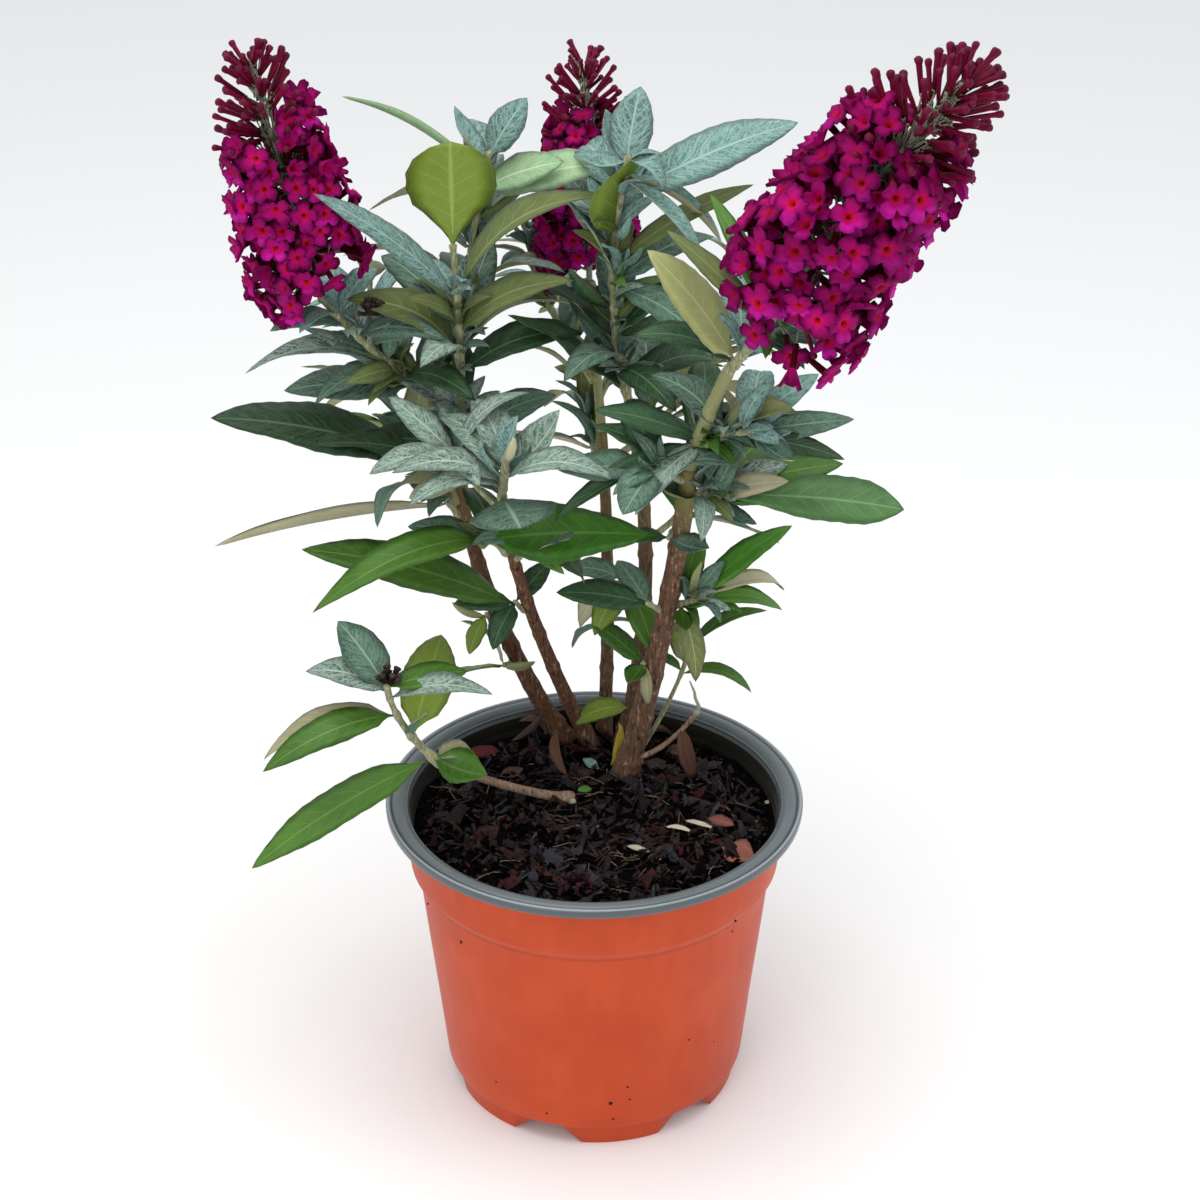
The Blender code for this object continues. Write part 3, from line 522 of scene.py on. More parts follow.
shoots = {
    "leaves_left_low": ("cane_left", 0.90, 205, (-68, 36, 268), (0, 0, -2), 1.6, [
        (0.22, 205, 2, 99, 9, "felt", "keeled", 46), (0.50, 240, 10, 48, 17, "khaki", "arched", 40),
        (0.80, 120, 10, 50, 18, "dark", "arched"), (0.90, 195, 20, 88, 31, "dark", "flat", 8),
        (1.00, 210, 20, 48, 17, "dark", "wavy")]),
    "leaves_front": ("cane_front", 1.0, 0, (-33, -14, 290), (0, 0, 0), 1.8, [
        (0.24, 285, 2, 30, 34, "grey", "oval", 0), (0.24, 130, 10, 36, 14, "grey", "arched"),
        (0.41, 205, 0, 39, 11, "frost", "bowed"), (0.47, 190, 11, 43, 11, "frost", "bowed"),
        (0.57, 350, 4, 43, 13, "frost", "bowed"), (0.62, 20, 46, 33, 14, "frost", "cupped"),
        (0.60, 215, 59, 21, 10, "milk", "cupped"), (0.66, 150, 42, 34, 17, "frost", "hooked"),
        (0.72, 120, 52, 32, 15, "frost", "hooked"), (0.68, 30, 76, 23, 9, "silver", "folded"),
        (0.75, 60, 30, 20, 10, "grey", "cupped"), (0.90, 300, 60, 14, 6, "silver", "cupped")]),
    "leaves_front_low": ("cane_front", 0.84, 200, (-45, 4, 246), (0, 0, 2), 1.4, [
        (0.65, 210, -1, 71, 16, "green", "hooked", -12),
        (0.90, 165, 4, 30, 14, "grey", "flat"), (0.50, 110, 20, 34, 13, "dark", "arched")]),
    "leaves_front_right": ("cane_front", 0.82, 330, (-18, 0, 243), (0, 0, 2), 1.4, [
        (0.90, 300, 35, 24, 14, "grey", "flat"),
        (0.50, 15, -36, 28, 14, "dark", "arched"), (0.60, 200, 20, 26, 12, "grey", "arched")]),
    "leaves_right_low": ("cane_right", 0.92, 350, (54, -1, 266), (0, 0, 0), 1.6, [
        (0.08, 5, 12, 57, 16, "green", "flat"), (0.12, 195, 15, 16, 10, "dark", "cupped"),
        (0.15, 355, -4, 28, 7, "green", "flat"), (0.22, 350, 1, 77, 25, "sage", "broad", 0),
        (0.24, 350, 16, 33, 11, "beige", "flat"), (0.32, 10, 21, 33, 11, "frost", "wavy"),
        (0.50, 60, 10, 48, 17, "green", "arched"), (0.90, 120, 30, 30, 12, "grey", "arched")]),
    "leaves_right": ("bough_right", 0.25, 20, (60, -12, 299), (0, 0, 1), 1.6, [
        (0.02, 190, 22, 46, 15, "dark", "flat"), (0.02, 90, 30, 42, 15, "dark", "arched"),
        (0.02, 215, -29, 39, 13, "frost", "arched"), (0.04, 200, -19, 66, 9, "olive", "folded"),
        (0.06, 330, -45, 12, 7, "dark", "cupped"), (0.21, 355, -6, 50, 9, "dark", "arched", 25),
        (0.26, 0, 9, 52, 11, "khaki", "wavy", 30), (0.40, 340, 30, 30, 13, "open", "folded"),
        (0.40, 160, 40, 36, 15, "grey", "arched"), (0.77, 20, 33, 36, 12, "silver", "flat"),
        (0.77, 30, 7, 30, 9, "silver", "curled"), (0.90, 80, 20, 38, 14, "silver", "arched"),
        (0.95, 310, -10, 24, 10, "grey", "cupped")]),
    "leaves_low": ("branch_low", 1.0, 0, (-79, -42, 206), (-4, 0, 0), 1.7, [
        (0.08, 200, -24, 83, 19, "green", "flat"), (0.10, 335, -6, 25, 16, "green", "cupped", 10),
        (0.05, 20, 10, 15, 8, "beige", "curled"),
        (0.35, 80, 19, 56, 21, "lime", "flat"), (0.38, 300, 50, 22, 11, "beige", "flat"),
        (0.62, 190, -3, 53, 11, "beige", "hooked"), (0.64, 210, -5, 56, 14, "green", "arched"),
        (0.85, 350, 13, 40, 12, "frost", "arched"), (0.92, 180, 21, 32, 13, "frost", "arched"),
        (0.96, 150, 49, 32, 18, "grey", "flat"), (1.00, 20, 3, 32, 14, "green", "flat")]),
    "leaves_tall": ("cane_left", 1.0, 0, (-53, 22, 360), (2, -2, 0), 1.9, [
        (0.14, 185, 5, 46, 15, "dark", "arched"), (0.16, 20, 25, 44, 15, "grey", "arched"),
        (0.30, 280, 5, 34, 13, "dark", "arched"), (0.31, 100, 25, 46, 16, "dark", "arched"),
        (0.30, 187, 35, 72, 14, "frost", "flat", 5), (0.48, 10, 20, 50, 16, "dark", "arched"),
        (0.56, 250, 20, 36, 13, "frost", "arched"), (0.55, 194, 38, 50, 20, "moss", "arched"),
        (0.65, 350, 33, 50, 16, "moss", "arched"), (0.66, 60, 50, 39, 15, "grey", "flat"),
        (0.67, 140, 30, 46, 15, "grey", "arched"), (0.79, 217, 43, 80, 12, "silver", "flat", -38),
        (0.80, 8, 31, 71, 16, "moss", "bowed"), (1.00, 270, 86, 43, 34, "lime", "oval")]),
    "leaves_right_top": ("bough_right", 1.0, 0, (64, -38, 353), (0, 0, 0), 1.9, [
        (0.10, 10, 15, 44, 14, "silver", "arched"), (0.12, 190, 25, 40, 14, "dark", "arched"),
        (0.30, 90, 25, 44, 15, "silver", "arched"), (0.15, 194, 55, 57, 20, "straw", "flat", -28),
        (0.46, 350, 8, 40, 13, "silver", "arched"), (0.70, 330, -20, 20, 8, "grey", "arched"),
        (0.80, 60, 20, 34, 12, "silver", "arched"), (0.88, 160, 41, 50, 10, "moss", "flat"),
        (1.00, 120, 41, 56, 9, "green", "flat")]),
    "leaves_left": ("bough_left", 1.0, 0, (-103, 18, 340), (0, 0, -2), 1.7, [
        (0.08, 184, 1, 52, 19, "grey", "flat", 0), (0.10, 60, 20, 44, 15, "grey", "arched"),
        (0.20, 184, 3, 62, 12, "frost", "bowed"), (0.22, 320, 5, 36, 14, "dark", "arched"),
        (0.36, 175, 12, 42, 9, "khaki", "arched"), (0.38, 90, 20, 44, 15, "grey", "arched"),
        (0.30, 196, -14, 34, 13, "grey", "arched"), (0.55, 20, 15, 42, 15, "grey", "arched"),
        (0.75, 200, 10, 30, 11, "grey", "arched"), (0.64, 120, 25, 44, 14, "silver", "arched"),
        (0.66, 340, 10, 36, 13, "grey", "arched"), (0.85, 240, 10, 24, 9, "silver", "arched"),
        (0.85, 60, 25, 30, 10, "silver", "arched")]),
    "leaves_left_top": ("cane_left", 0.90, 70, (-40, 56, 385), (-6, 6, 0), 1.6, [
        (0.42, 190, 15, 50, 17, "grey", "arched"), (0.44, 15, 25, 48, 16, "dark", "arched"),
        (0.50, 100, 25, 48, 16, "dark", "arched"), (0.59, 350, 25, 42, 16, "frost", "arched"),
        (0.61, 170, 20, 50, 17, "grey", "arched"), (0.72, 60, 25, 44, 16, "frost", "arched"),
        (0.73, 120, 30, 48, 16, "grey", "arched"), (0.83, 200, 15, 44, 15, "silver", "arched"),
        (0.82, 80, 25, 40, 16, "frost", "arched"), (0.89, 352, 16, 54, 20, "milk", "flat", 55),
        (0.90, 342, 24, 36, 17, "pearl", "flat", 62), (0.90, 100, 30, 40, 14, "silver", "arched"),
        (0.96, 40, 46, 22, 10, "silver", "flat"), (0.93, 180, 34, 62, 4.5, "pearl", "folded", 5),
        (1.00, 20, 55, 27, 15, "silver", "flat", 60), (1.00, 130, 35, 26, 11, "silver", "cupped")]),
    "leaves_centre": ("cane_centre", 1.0, 0, (13, 30, 392), (-6, 0, 0), 1.8, [
        (0.06, 192, 40, 58, 18, "dark", "wavy"), (0.07, 30, 10, 42, 16, "dark", "arched"),
        (0.15, 300, 0, 38, 15, "dark", "arched"), (0.16, 120, 28, 48, 16, "dark", "arched"),
        (0.20, 235, 10, 36, 14, "grey", "arched"), (0.26, 190, 44, 48, 18, "dark", "wavy"),
        (0.27, 10, 0, 44, 15, "grey", "arched"), (0.34, 90, 30, 48, 16, "grey", "arched"),
        (0.30, 350, 45, 32, 16, "dark", "flat"), (0.41, 215, 42, 29, 14, "moss", "cupped"),
        (0.43, 25, -5, 38, 14, "green", "arched"), (0.49, 340, -26, 46, 15, "grey", "arched"),
        (0.50, 20, 23, 44, 14, "grey", "arched"), (0.53, 200, 62, 38, 16, "silver", "flat", 10),
        (0.68, 345, 74, 36, 25, "fresh", "folded"), (0.58, 5, 31, 61, 12, "moss", "flat"),
        (0.60, 120, 35, 44, 15, "frost", "arched"), (0.70, 150, 20, 34, 13, "frost", "arched"),
        (0.72, 80, 25, 44, 15, "silver", "arched"), (0.84, 12, 21, 73, 20, "silver", "flat", 14),
        (0.84, 110, 15, 44, 15, "silver", "arched"), (0.92, 335, -38, 42, 7, "silver", "folded"),
        (0.94, 10, -36, 48, 7, "silver", "folded"), (0.95, 60, 70, 31, 17, "silver", "flat"),
        (0.97, 130, 55, 22, 10, "silver", "cupped"), (0.98, 345, 30, 13, 3, "silver", "hooked"),
        (1.00, 200, 10, 22, 10, "pale", "cupped"), (1.00, 320, -10, 18, 10, "pale", "curled")]),
    "leaves_right_inner": ("cane_right", 0.97, 215, (22, -8, 281), (0, 0, 0), 1.4, [
        (0.50, 165, 35, 34, 14, "dark", "arched"), (0.55, 340, 20, 30, 12, "grey", "arched"),
        (0.80, 190, 8, 38, 14, "grey", "wavy"), (0.82, 110, 30, 38, 14, "dark", "arched"),
        (0.95, 245, -12, 28, 15, "grey", "flat")]),
    "leaves_right_stem": ("cane_right", 0.56, 215, (21, 11, 214), (0, 0, 0), 1.2, [
        (0.70, 185, 12, 38, 15, "dark", "flat"), (0.90, 120, 20, 26, 11, "grey", "flat")]),
    "leaves_right_foot": ("cane_right", 0.56, 20, (44, 16, 214), (0, 0, 0), 1.2, [
        (0.60, 10, -8, 38, 9, "green", "arched"), (0.70, 35, -12, 46, 8, "beige", "bowed"),
        (0.55, 20, 33, 50, 14, "deep", "flat"), (0.66, 300, 80, 19, 8, "dark", "flat"),
        (0.10, 300, -62, 32, 10, "open", "arched"),
        (0.30, 70, 50, 30, 12, "green", "arched")]),
    "leaves_left_foot": ("cane_left", 0.34, 215, (-38, 50, 164), (0, 0, 0), 1.2, [
        (0.70, 200, -4, 30, 17, "lime", "flat"), (0.90, 160, 50, 26, 10, "grey", "arched"),
        (0.90, 330, 20, 16, 9, "green", "cupped")]),
    "leaves_centre_low": ("cane_centre", 0.50, 215, (12, 45, 207), (0, 0, 0), 1.2, [
        (0.60, 235, -25, 28, 13, "lime", "arched"), (0.80, 190, -35, 28, 12, "beige", "hooked"),
        (0.80, 300, -45, 32, 14, "green", "flat"), (0.95, 160, 5, 24, 10, "khaki", "arched")]),
    "leaves_sprig": ("cane_right", 0.03, 60, (40, 37, 182), (3, 2, 0), 1.1, [
        (0.72, 350, -12, 30, 7, "green", "bowed"), (0.74, 170, 30, 14, 5, "green", "arched"),
        (0.80, 130, 62, 20, 9, "open", "flat"), (0.95, 10, 24, 35, 6, "green", "bowed"),
        (0.97, 200, 40, 15, 6, "lime", "flat"), (0.97, 80, 60, 18, 6, "green", "cupped")]),
}
# Further twigs of a mass: its node, then the same terms
sideTwigs = {
    "front_side": ("leaves_front", "leaves_front", 0.10, 185, (-52, -2, 284), (-2, 0, 0), 1.2, [
        (0.60, 195, -15, 24, 10, "beige", "flat"), (0.80, 100, 45, 26, 10, "grey", "arched"),
        (0.88, 290, 5, 22, 9, "frost", "arched"), (0.96, 166, 41, 35, 12, "frost", "flat"),
        (0.97, 188, -8, 34, 10, "frost", "bowed"), (1.00, 22, 36, 37, 8, "frost", "bowed"),
        (1.00, 120, 55, 18, 7, "silver", "cupped")]),
    "front_node": ("leaves_front_low", "cane_front", 0.60, 200, (-32, 22, 209), (0, 0, 0), 1.0, [
        (0.40, 187, 21, 91, 23, "green", "flat", 0), (0.80, 190, 6, 25, 11, "dark", "flat"),
        (0.90, 235, -40, 21, 11, "dark", "arched"),
        (0.90, 40, 35, 22, 10, "dark", "flat")]),
    "left_node": ("leaves_left_foot", "cane_left", 0.50, 200, (-45, 53, 187), (0, 0, 0), 1.0, [
        (0.90, 230, -50, 18, 10, "lime", "flat"), (0.80, 160, 10, 16, 8, "green", "cupped")]),
    "right_sprout": ("leaves_right_stem", "cane_right", 0.37, 190, (20, 23, 180), (0, 0, 0), 1.0, [
        (0.80, 165, 37, 27, 12, "green", "flat"), (0.90, 240, -10, 14, 9, "green", "cupped"),
        (0.90, 285, -60, 17, 5, "beige", "curled")]),
    "right_mid": ("leaves_right_inner", "cane_right", 0.80, 200, (29, 8, 244), (0, 0, 0), 1.0, [
        (0.70, 190, 5, 70, 31, "deep", "broad", 0),
        (0.80, 188, 2, 18, 12, "dark", "flat", 20), (0.90, 330, 0, 18, 10, "grey", "cupped")]),
    "back_node": ("leaves_centre_low", "cane_back", 0.38, 235, (2, 67, 174), (0, 0, 0), 1.0, [
        (0.90, 200, -28, 15, 9, "khaki", "arched"), (0.90, 352, 8, 18, 7, "khaki", "arched")]),
}
# limb, place, heading, tip, bow, foot radius, number of leaf pairs, longest leaf
backShoots = {
    "leaves_back_left": ("cane_left", 0.86, 125, (-92, 98, 318), (-8, 8, -8), 1.7, 6, 64),
    "leaves_back_right": ("cane_back", 0.90, 20, (62, 112, 312), (8, 8, -8), 1.7, 6, 62),
    "leaves_back": ("cane_back", 0.82, 95, (-14, 132, 306), (0, 10, -10), 1.7, 6, 60),
    "leaves_back_low": ("cane_centre", 0.62, 40, (62, 78, 262), (4, 4, -4), 1.5, 5, 56),
    "leaves_back_top": ("bough_back", 0.35, 200, (-28, 92, 348), (-6, 4, 0), 1.5, 5, 48),
}
growth = {
    "axilChance": 0.8, "axilLength": (13, 27), "highest": 0.85,
    # lean of each small leaf, and its share of the length
    "axilPairs": ((0.8, 1.0), (-0.8, 0.85), (0.4, 0.6), (-0.4, 0.5)),
    "axilHabits": ("cupped", "arched", "arched"), "axilFinishes": ("frost", "grey", "moss"),
    "paleFinishes": ("silver", "milk", "pale", "fresh"),
    "without": ("leaves_sprig", "leaves_left_foot", "leaves_low", "leaves_front", "leaves_centre_low",
                "leaves_right_stem", *sideTwigs),
}
youngStem = {"sides": 8, "sunk": 1.3, "step": 1.6, "nodeSwell": 0.38, "footSwell": 0.35, "taper": 0.65}


def ruleLeaves(name, shoot, pairs, longest):
    # Opposite pairs of leaves, each pair turned a quarter from the one below.
    rng = random.Random(name)
    leaves = []
    for index in range(pairs):
        place = 0.22 + 0.78 * index / (pairs - 1)
        axis = shoot.tangent(place)
        across = unit(np.cross(axis, up))
        spread = turned(across, axis, 90 * index + rng.uniform(-20, 20))
        length = longest * (1 - 0.45 * place) * rng.uniform(0.85, 1.1)
        for sign in (1, -1):
            along = unit(spread * sign + axis * rng.uniform(0.4, 0.9))
            heading = math.degrees(math.atan2(along[1], along[0]))
            lift = max(math.degrees(math.asin(along[2])), -30)
            finish = "silver" if place > 0.8 else rng.choice(("grey", "dark", "frost", "grey", "green"))
            leaves.append((place + 0.008 * sign, heading, lift, length, length * 0.28, finish,
                           rng.choice(("arched", "arched", "bowed", "wavy"))))
    return leaves


def bladeSide(along, base, roll):
    # The line across a blade: level, then turned so that the blade looks out of the crown.
    side = unit((-along[1], along[0], 0))
    outward = 1 if base[1] > leafBlade["crownMiddle"] else -1
    return turned(side, along, leafBlade["faceTilt"] * -outward * side[1] + roll)


def placeLeaves(bundle, name, shoot, leaves):
    rng = random.Random(name)
    for place, heading, lift, length, width, finish, habit, *own in leaves:
        axis = shoot.point(min(place, 0.985))
        along = direction(heading, lift)
        roll = own[0] if own else rng.uniform(-1, 1) * leafBlade["looseRoll"]
        side = bladeSide(along, axis, roll)
        addLeaf(bundle, axis + along * gap, along, side, length, width, habit, leafSlots(finish), rng)
        budding = rng.random() < growth["axilChance"]
        if budding and place < growth["highest"] and name not in growth["without"]:
            # A side shoot no longer than its first leaves: two pairs in the angle of leaf and stem.
            heart = unit(along * rng.uniform(0.5, 0.9) + shoot.tangent(place) + up * 0.2)
            spread = unit(np.cross(heart, along))
            size = rng.uniform(*growth["axilLength"])
            tone = "silver" if finish in growth["paleFinishes"] else rng.choice(growth["axilFinishes"])
            slots = leafSlots("green" if lift < -15 else tone)[:1] * 2
            for k, (lean, share) in enumerate(growth["axilPairs"]):
                small = unit(heart + turned(spread, heart, 90 * (k // 2)) * lean + scatter(rng, 0.25))
                addLeaf(bundle, axis + small * 0.5, small, bladeSide(small, axis, rng.uniform(-35, 35)),
                        size * share, size * share * 0.34, rng.choice(growth["axilHabits"]), slots, rng)


def addStem(bundle, limb, places):
    # A young shoot: faintly square, swollen where leaves join, its foot sunk in its limb.
    places = np.array(sorted(set(round(p, 2) for p in places)))
    points, radii = [limb.point(0) - limb.tangent(0) * youngStem["sunk"]], [limb.radius(0) * 1.15]
    for t in np.linspace(0, 1, max(10, int(limb.length() / youngStem["step"]))):
        swell = youngStem["nodeSwell"] * np.exp(-((t - places) * limb.length() / 1.5) ** 2).max()
        collar = youngStem["footSwell"] * math.exp(-t * limb.length() / 1.5)
        points.append(limb.point(t))
        radii.append(limb.radius(t) * (1 + swell + collar))
    points.append(limb.point(1) + limb.tangent(1))
    radii.append(limb.radius(1) * 0.45)
    bundle.addTube(points, radii, youngStem["sides"], 0)


def youngBarkMaterial(name, base, deeper, felt):
    # Young stem skin under short pale hairs: soft and dull, with fine lengthwise lines.
    mat, add, setShader = newMaterial(name, {
        "Roughness": 0.8, "Specular IOR Level": 0.3, "Sheen Weight": 0.35, "Sheen Roughness": 0.5})
    place = add("TexCoord", {}).outputs["Object"]
    stretch = add("Mapping", {"Scale": (1, 1, 0.18), "Vector": place})
    lines = add("TexNoise", {"Scale": 1100, "Detail": 3, "Vector": stretch})
    blotch = add("TexNoise", {"Scale": 70, "Detail": 3, "Vector": place})
    share = add("MapRange", {"Value": blotch, "From Min": 0.35, "From Max": 0.65})
    body = add("Mix", {"data_type": "RGBA", 0: share, 6: linear(base), 7: linear(deeper)})
    hair = add("MapRange", {"Value": lines, "From Min": 0.45, "From Max": 0.72, "To Max": 0.75})
    colour = add("Mix", {"data_type": "RGBA", 0: hair, 6: body, 7: linear(felt)})
    bump = add("Bump", {"Strength": 0.4, "Distance": 0.0003, "Height": lines})
    setShader({"Base Color": colour, "Normal": bump})
    return mat


# The shoots of each limb are joined in one piece of leaves and one of stems

foliage = {
    "low": ["leaves_low"],
    "front": ["leaves_front", "leaves_front_low", "leaves_front_right"],
    "left": ["leaves_left", "leaves_left_low", "leaves_left_top", "leaves_left_foot"],
    "tall": ["leaves_tall"],
    "centre": ["leaves_centre", "leaves_centre_low"],
    "right": ["leaves_right", "leaves_right_low", "leaves_right_top", "leaves_right_inner",
              "leaves_right_stem", "leaves_right_foot", "leaves_sprig"],
    "back": ["leaves_back_left", "leaves_back_right", "leaves_back", "leaves_back_low", "leaves_back_top"],
}


def makeFoliage(limbs, blades):
    young = youngBarkMaterial("feltedStem", "#8b8c62", "#6a6c42", "#bcbb9c")
    for group, names in foliage.items():
        leaves, stems = Bundle(), Bundle()
        for name in names:
            spec = {**shoots, **backShoots}[name]
            table = spec[6] if name in shoots else ruleLeaves(name, limbs[name], *spec[6:])
            twigs = [(twig, own[7]) for twig, own in sideTwigs.items() if own[0] == name]
            for shoot, rows in [(name, table), *twigs]:
                placeLeaves(leaves, shoot, limbs[shoot], rows)
                addStem(stems, limbs[shoot], [row[0] for row in rows])
        leaves.build("foliage_" + group, blades, "leaf_green", names)
        stems.build("stems_" + group, [young], "leaf_green", names)
        print("foliage", group, len(leaves.faces), "faces")


# Canes and boughs

bark = {"sides": 26, "step": 1.5, "furrow": 0.24, "grain": 0.16, "nodeEvery": 22, "nodeSwell": 0.9, "sunk": 4}
barkFinishes = {
    # name: furrows, bark, crests, green of the young end, height where it begins and is full, in mm
    "furrowedBark": ("#2b1c14", "#664937", "#a98f78", "#7c7a4a", (238, 262)),
    "brownBark": ("#2a1912", "#60412e", "#9a7a62", "#6f6a3c", (225, 262)),
    "greyBark": ("#2c1e16", "#604835", "#917b63", "#75703f", (215, 262)),
    "youngBark": ("#5a5230", "#8b8a5c", "#b3ae88", "#8b8c62", (200, 210)),
    "dryBark": ("#4a372b", "#8a705c", "#b9a08c", "#8b8c62", (400, 410)),
}
limbFinish = {
    "cane_left": "brownBark", "cane_front": "brownBark", "cane_right": "furrowedBark",
    "cane_centre": "greyBark", "cane_back": "greyBark", "branch_low": "dryBark",
    "bough_left": "youngBark", "bough_right": "youngBark", "bough_back": "youngBark", "twig_dry": "dryBark",
}


def barkMaterial(name):
    # Thin ridged bark: dark cracks along the stem between paler corky crests, greener towards the young end.
    furrow, body, crest, green, (low, high) = barkFinishes[name]
    mat, add, setShader = newMaterial(name, {"Roughness": 0.85, "Specular IOR Level": 0.3})
    place = add("TexCoord", {}).outputs["Object"]
    stretch = add("Mapping", {"Scale": (1, 1, 0.16), "Vector": place})
    ridges = add("TexNoise", {"Scale": 900, "Detail": 5, "Roughness": 0.65, "Vector": stretch})
    flakes = add("TexNoise", {"Scale": 420, "Detail": 4, "Vector": place})
    blend = add("Math", {"operation": "MULTIPLY_ADD", 0: flakes, 1: 0.35, 2: ridges})
    stops = [(0.50, furrow), (0.62, body), (0.74, body), (0.86, crest)]
    colour = add("ValToRGB", {"stops": stops, "Fac": blend})
    height = add("SeparateXYZ", {"Vector": place}).outputs["Z"]
    patch = add("TexNoise", {"Scale": 60, "Detail": 2, "Vector": place})
    uneven = add("Math", {"operation": "MULTIPLY_ADD", 0: patch, 1: 0.03, 2: height})
    youth = add("MapRange", {
        "Value": uneven, "From Min": (low + 15) * mm, "From Max": (high + 15) * mm, "To Max": 0.8})
    final = add("Mix", {"data_type": "RGBA", 0: youth, 6: colour, 7: linear(green)})
    bump = add("Bump", {"Strength": 0.7, "Distance": 0.0006, "Height": blend})
    setShader({"Base Color": final, "Normal": bump})
    return mat


def barkRelief(limb, place, around, seed):
    # Height of the bark in mm: furrows that run along the limb, and swollen nodes with leaf scars.
    along = place * limb.length()
    point = Vector(around * 1.9) + Vector((seed, 0, along * 0.055))
    furrows = noise.noise(point * 1.7) + 0.5 * noise.noise(point * 4.1)
    grain = noise.noise(Vector(around * 6.0) + Vector((seed, 0, along * 0.5)))
    height = bark["furrow"] * furrows + bark["grain"] * grain
    step = (along - 9) / bark["nodeEvery"]
    near = abs(step - round(step)) * bark["nodeEvery"]
    turn = math.pi / 2 * (round(step) % 2) + seed
    cross = abs(around @ np.array((math.cos(turn), math.sin(turn), 0)))
    height += bark["nodeSwell"] * math.exp(-(near / 1.7) ** 2) * (0.35 + 0.65 * cross ** 2)
    return height * limb.radius(place) / 4.2


def makeLimb(name, limb, material, seed, sunk):
    bm = bmesh.new()
    stations = np.linspace(-sunk / limb.length(), 1, max(8, int((limb.length() + sunk) / bark["step"])))
    bmesh.ops.create_circle(bm, segments=bark["sides"], radius=1.0)
    ring, old = bm.verts[:], Matrix.Identity(4)
    for i, t in enumerate(stations):
        if i:
            rim = set(ring)
            _, ring = extruded(bm, [e for e in bm.edges if e.verts[0] in rim and e.verts[1] in rim])
        axes = Vector(limb.tangent(t)).to_track_quat("Z", "Y").to_matrix().to_4x4()
        new = Matrix.Translation(Vector(limb.point(t))) @ axes @ Matrix.Scale(limb.radius(t), 4)
        bmesh.ops.transform(bm, matrix=new @ old.inverted(), verts=ring)
        old = new
    bmesh.ops.holes_fill(bm, edges=[e for e in bm.edges if e.is_boundary])
    span = limb.end - limb.start
    for vert in bm.verts:
        place = float((np.array(vert.co) - limb.start) @ span / (span @ span))
        away = np.array(vert.co) - limb.point(place)
        if np.linalg.norm(away) > 0.2:
            vert.co += Vector(unit(away)) * barkRelief(limb, place, unit(away), seed)
    bmesh.ops.recalc_face_normals(bm, faces=bm.faces)
    dress(finishMesh(bm, name + "_bark", material), [name])


def makeLimbs(limbs):
    finished = {name: barkMaterial(name) for name in barkFinishes}
    for seed, (name, finish) in enumerate(limbFinish.items()):
        slotName, sunk = ("brown_bark", bark["sunk"]) if name in canes else ("green_bark", 2)
        makeLimb(name, limbs[name], finished[finish], seed * 7.3, sunk)
    print("limbs", len(limbFinish))


# Flower spikes: limb below, tip, bow, widest radius, clusters of flowers, clusters of buds, size of a flower,
# the side that is bare at the foot by how many mm, and the place and facing of single flowers that hang below

spikes = {
    "spike_left": ("leaves_left", (-123, 5, 435), (0, 0, 1), 24.0, 26, 15, 1.04, (8, 0, 0), [
        ((-123, 10, 340), (-0.8, -0.4, -0.5))]),
    "spike_middle": ("bough_back", (-4, 96, 409), (0, 0, 0), 22.5, 21, 14, 0.97, (0, 0, 0), []),
    "spike_right": ("leaves_right_top", (124, -73, 452), (-2, 1, 3), 30.5, 31, 17, 1.24, (-6, 0, 0), [
        ((84, -46, 336), (0.75, -0.5, -0.5)), ((70, -50, 345), (0.1, -0.9, -0.3)),
        ((94, -50, 344), (0.8, -0.3, -0.3))]),
}
spikeOutline = [(-0.1, 0.40), (0, 0.66), (0.05, 0.92), (0.12, 1.04), (0.3, 0.98), (0.5, 0.92), (0.65, 0.84),
                (0.8, 0.66), (0.9, 0.52), (1.0, 0.38)]
flower = {
    "faceRadius": 6.1, "tubeLength": 9.5, "tubeRadius": 0.9, "eyeRadius": 1.05, "variants": 12,
    "flowersStart": 0.10, "flowersEnd": 0.67, "inCluster": 7, "closest": 6.1, "closedInCluster": 3,
    # shares of the spike's radius at which inner and outer flowers sit, how wide a cluster spreads, sizes
    "innerReach": (0.66, 0.82), "outerReach": (0.86, 1.0), "spread": (0.08, 0.66), "sizes": (0.88, 1.06),
    "budsStart": 0.60, "budLength": (13.0, 17.0), "budsInCluster": 5,
    "axisRadii": (1.5, 0.6), "stalkRadius": 1.3,
    "lobe": (0.56, 0.86, 0.98, 1.0, 1.0, 0.98, 0.86),
    "budOutline": [(0, 0.70), (0.4, 1.0), (0.80, 1.12), (0.88, 1.50), (0.95, 1.62), (0.99, 1.10)],
}
petalSlot, tubeSlot, budSlot, stalkSlot, driedSlot, coneSlot = range(6)
goldenTurn = 137.5


def spikeRadius(t, widest):
    # Outline of a flower spike: full from low down, slim at the budded top.
    return widest * float(np.interp(t, *zip(*spikeOutline)))


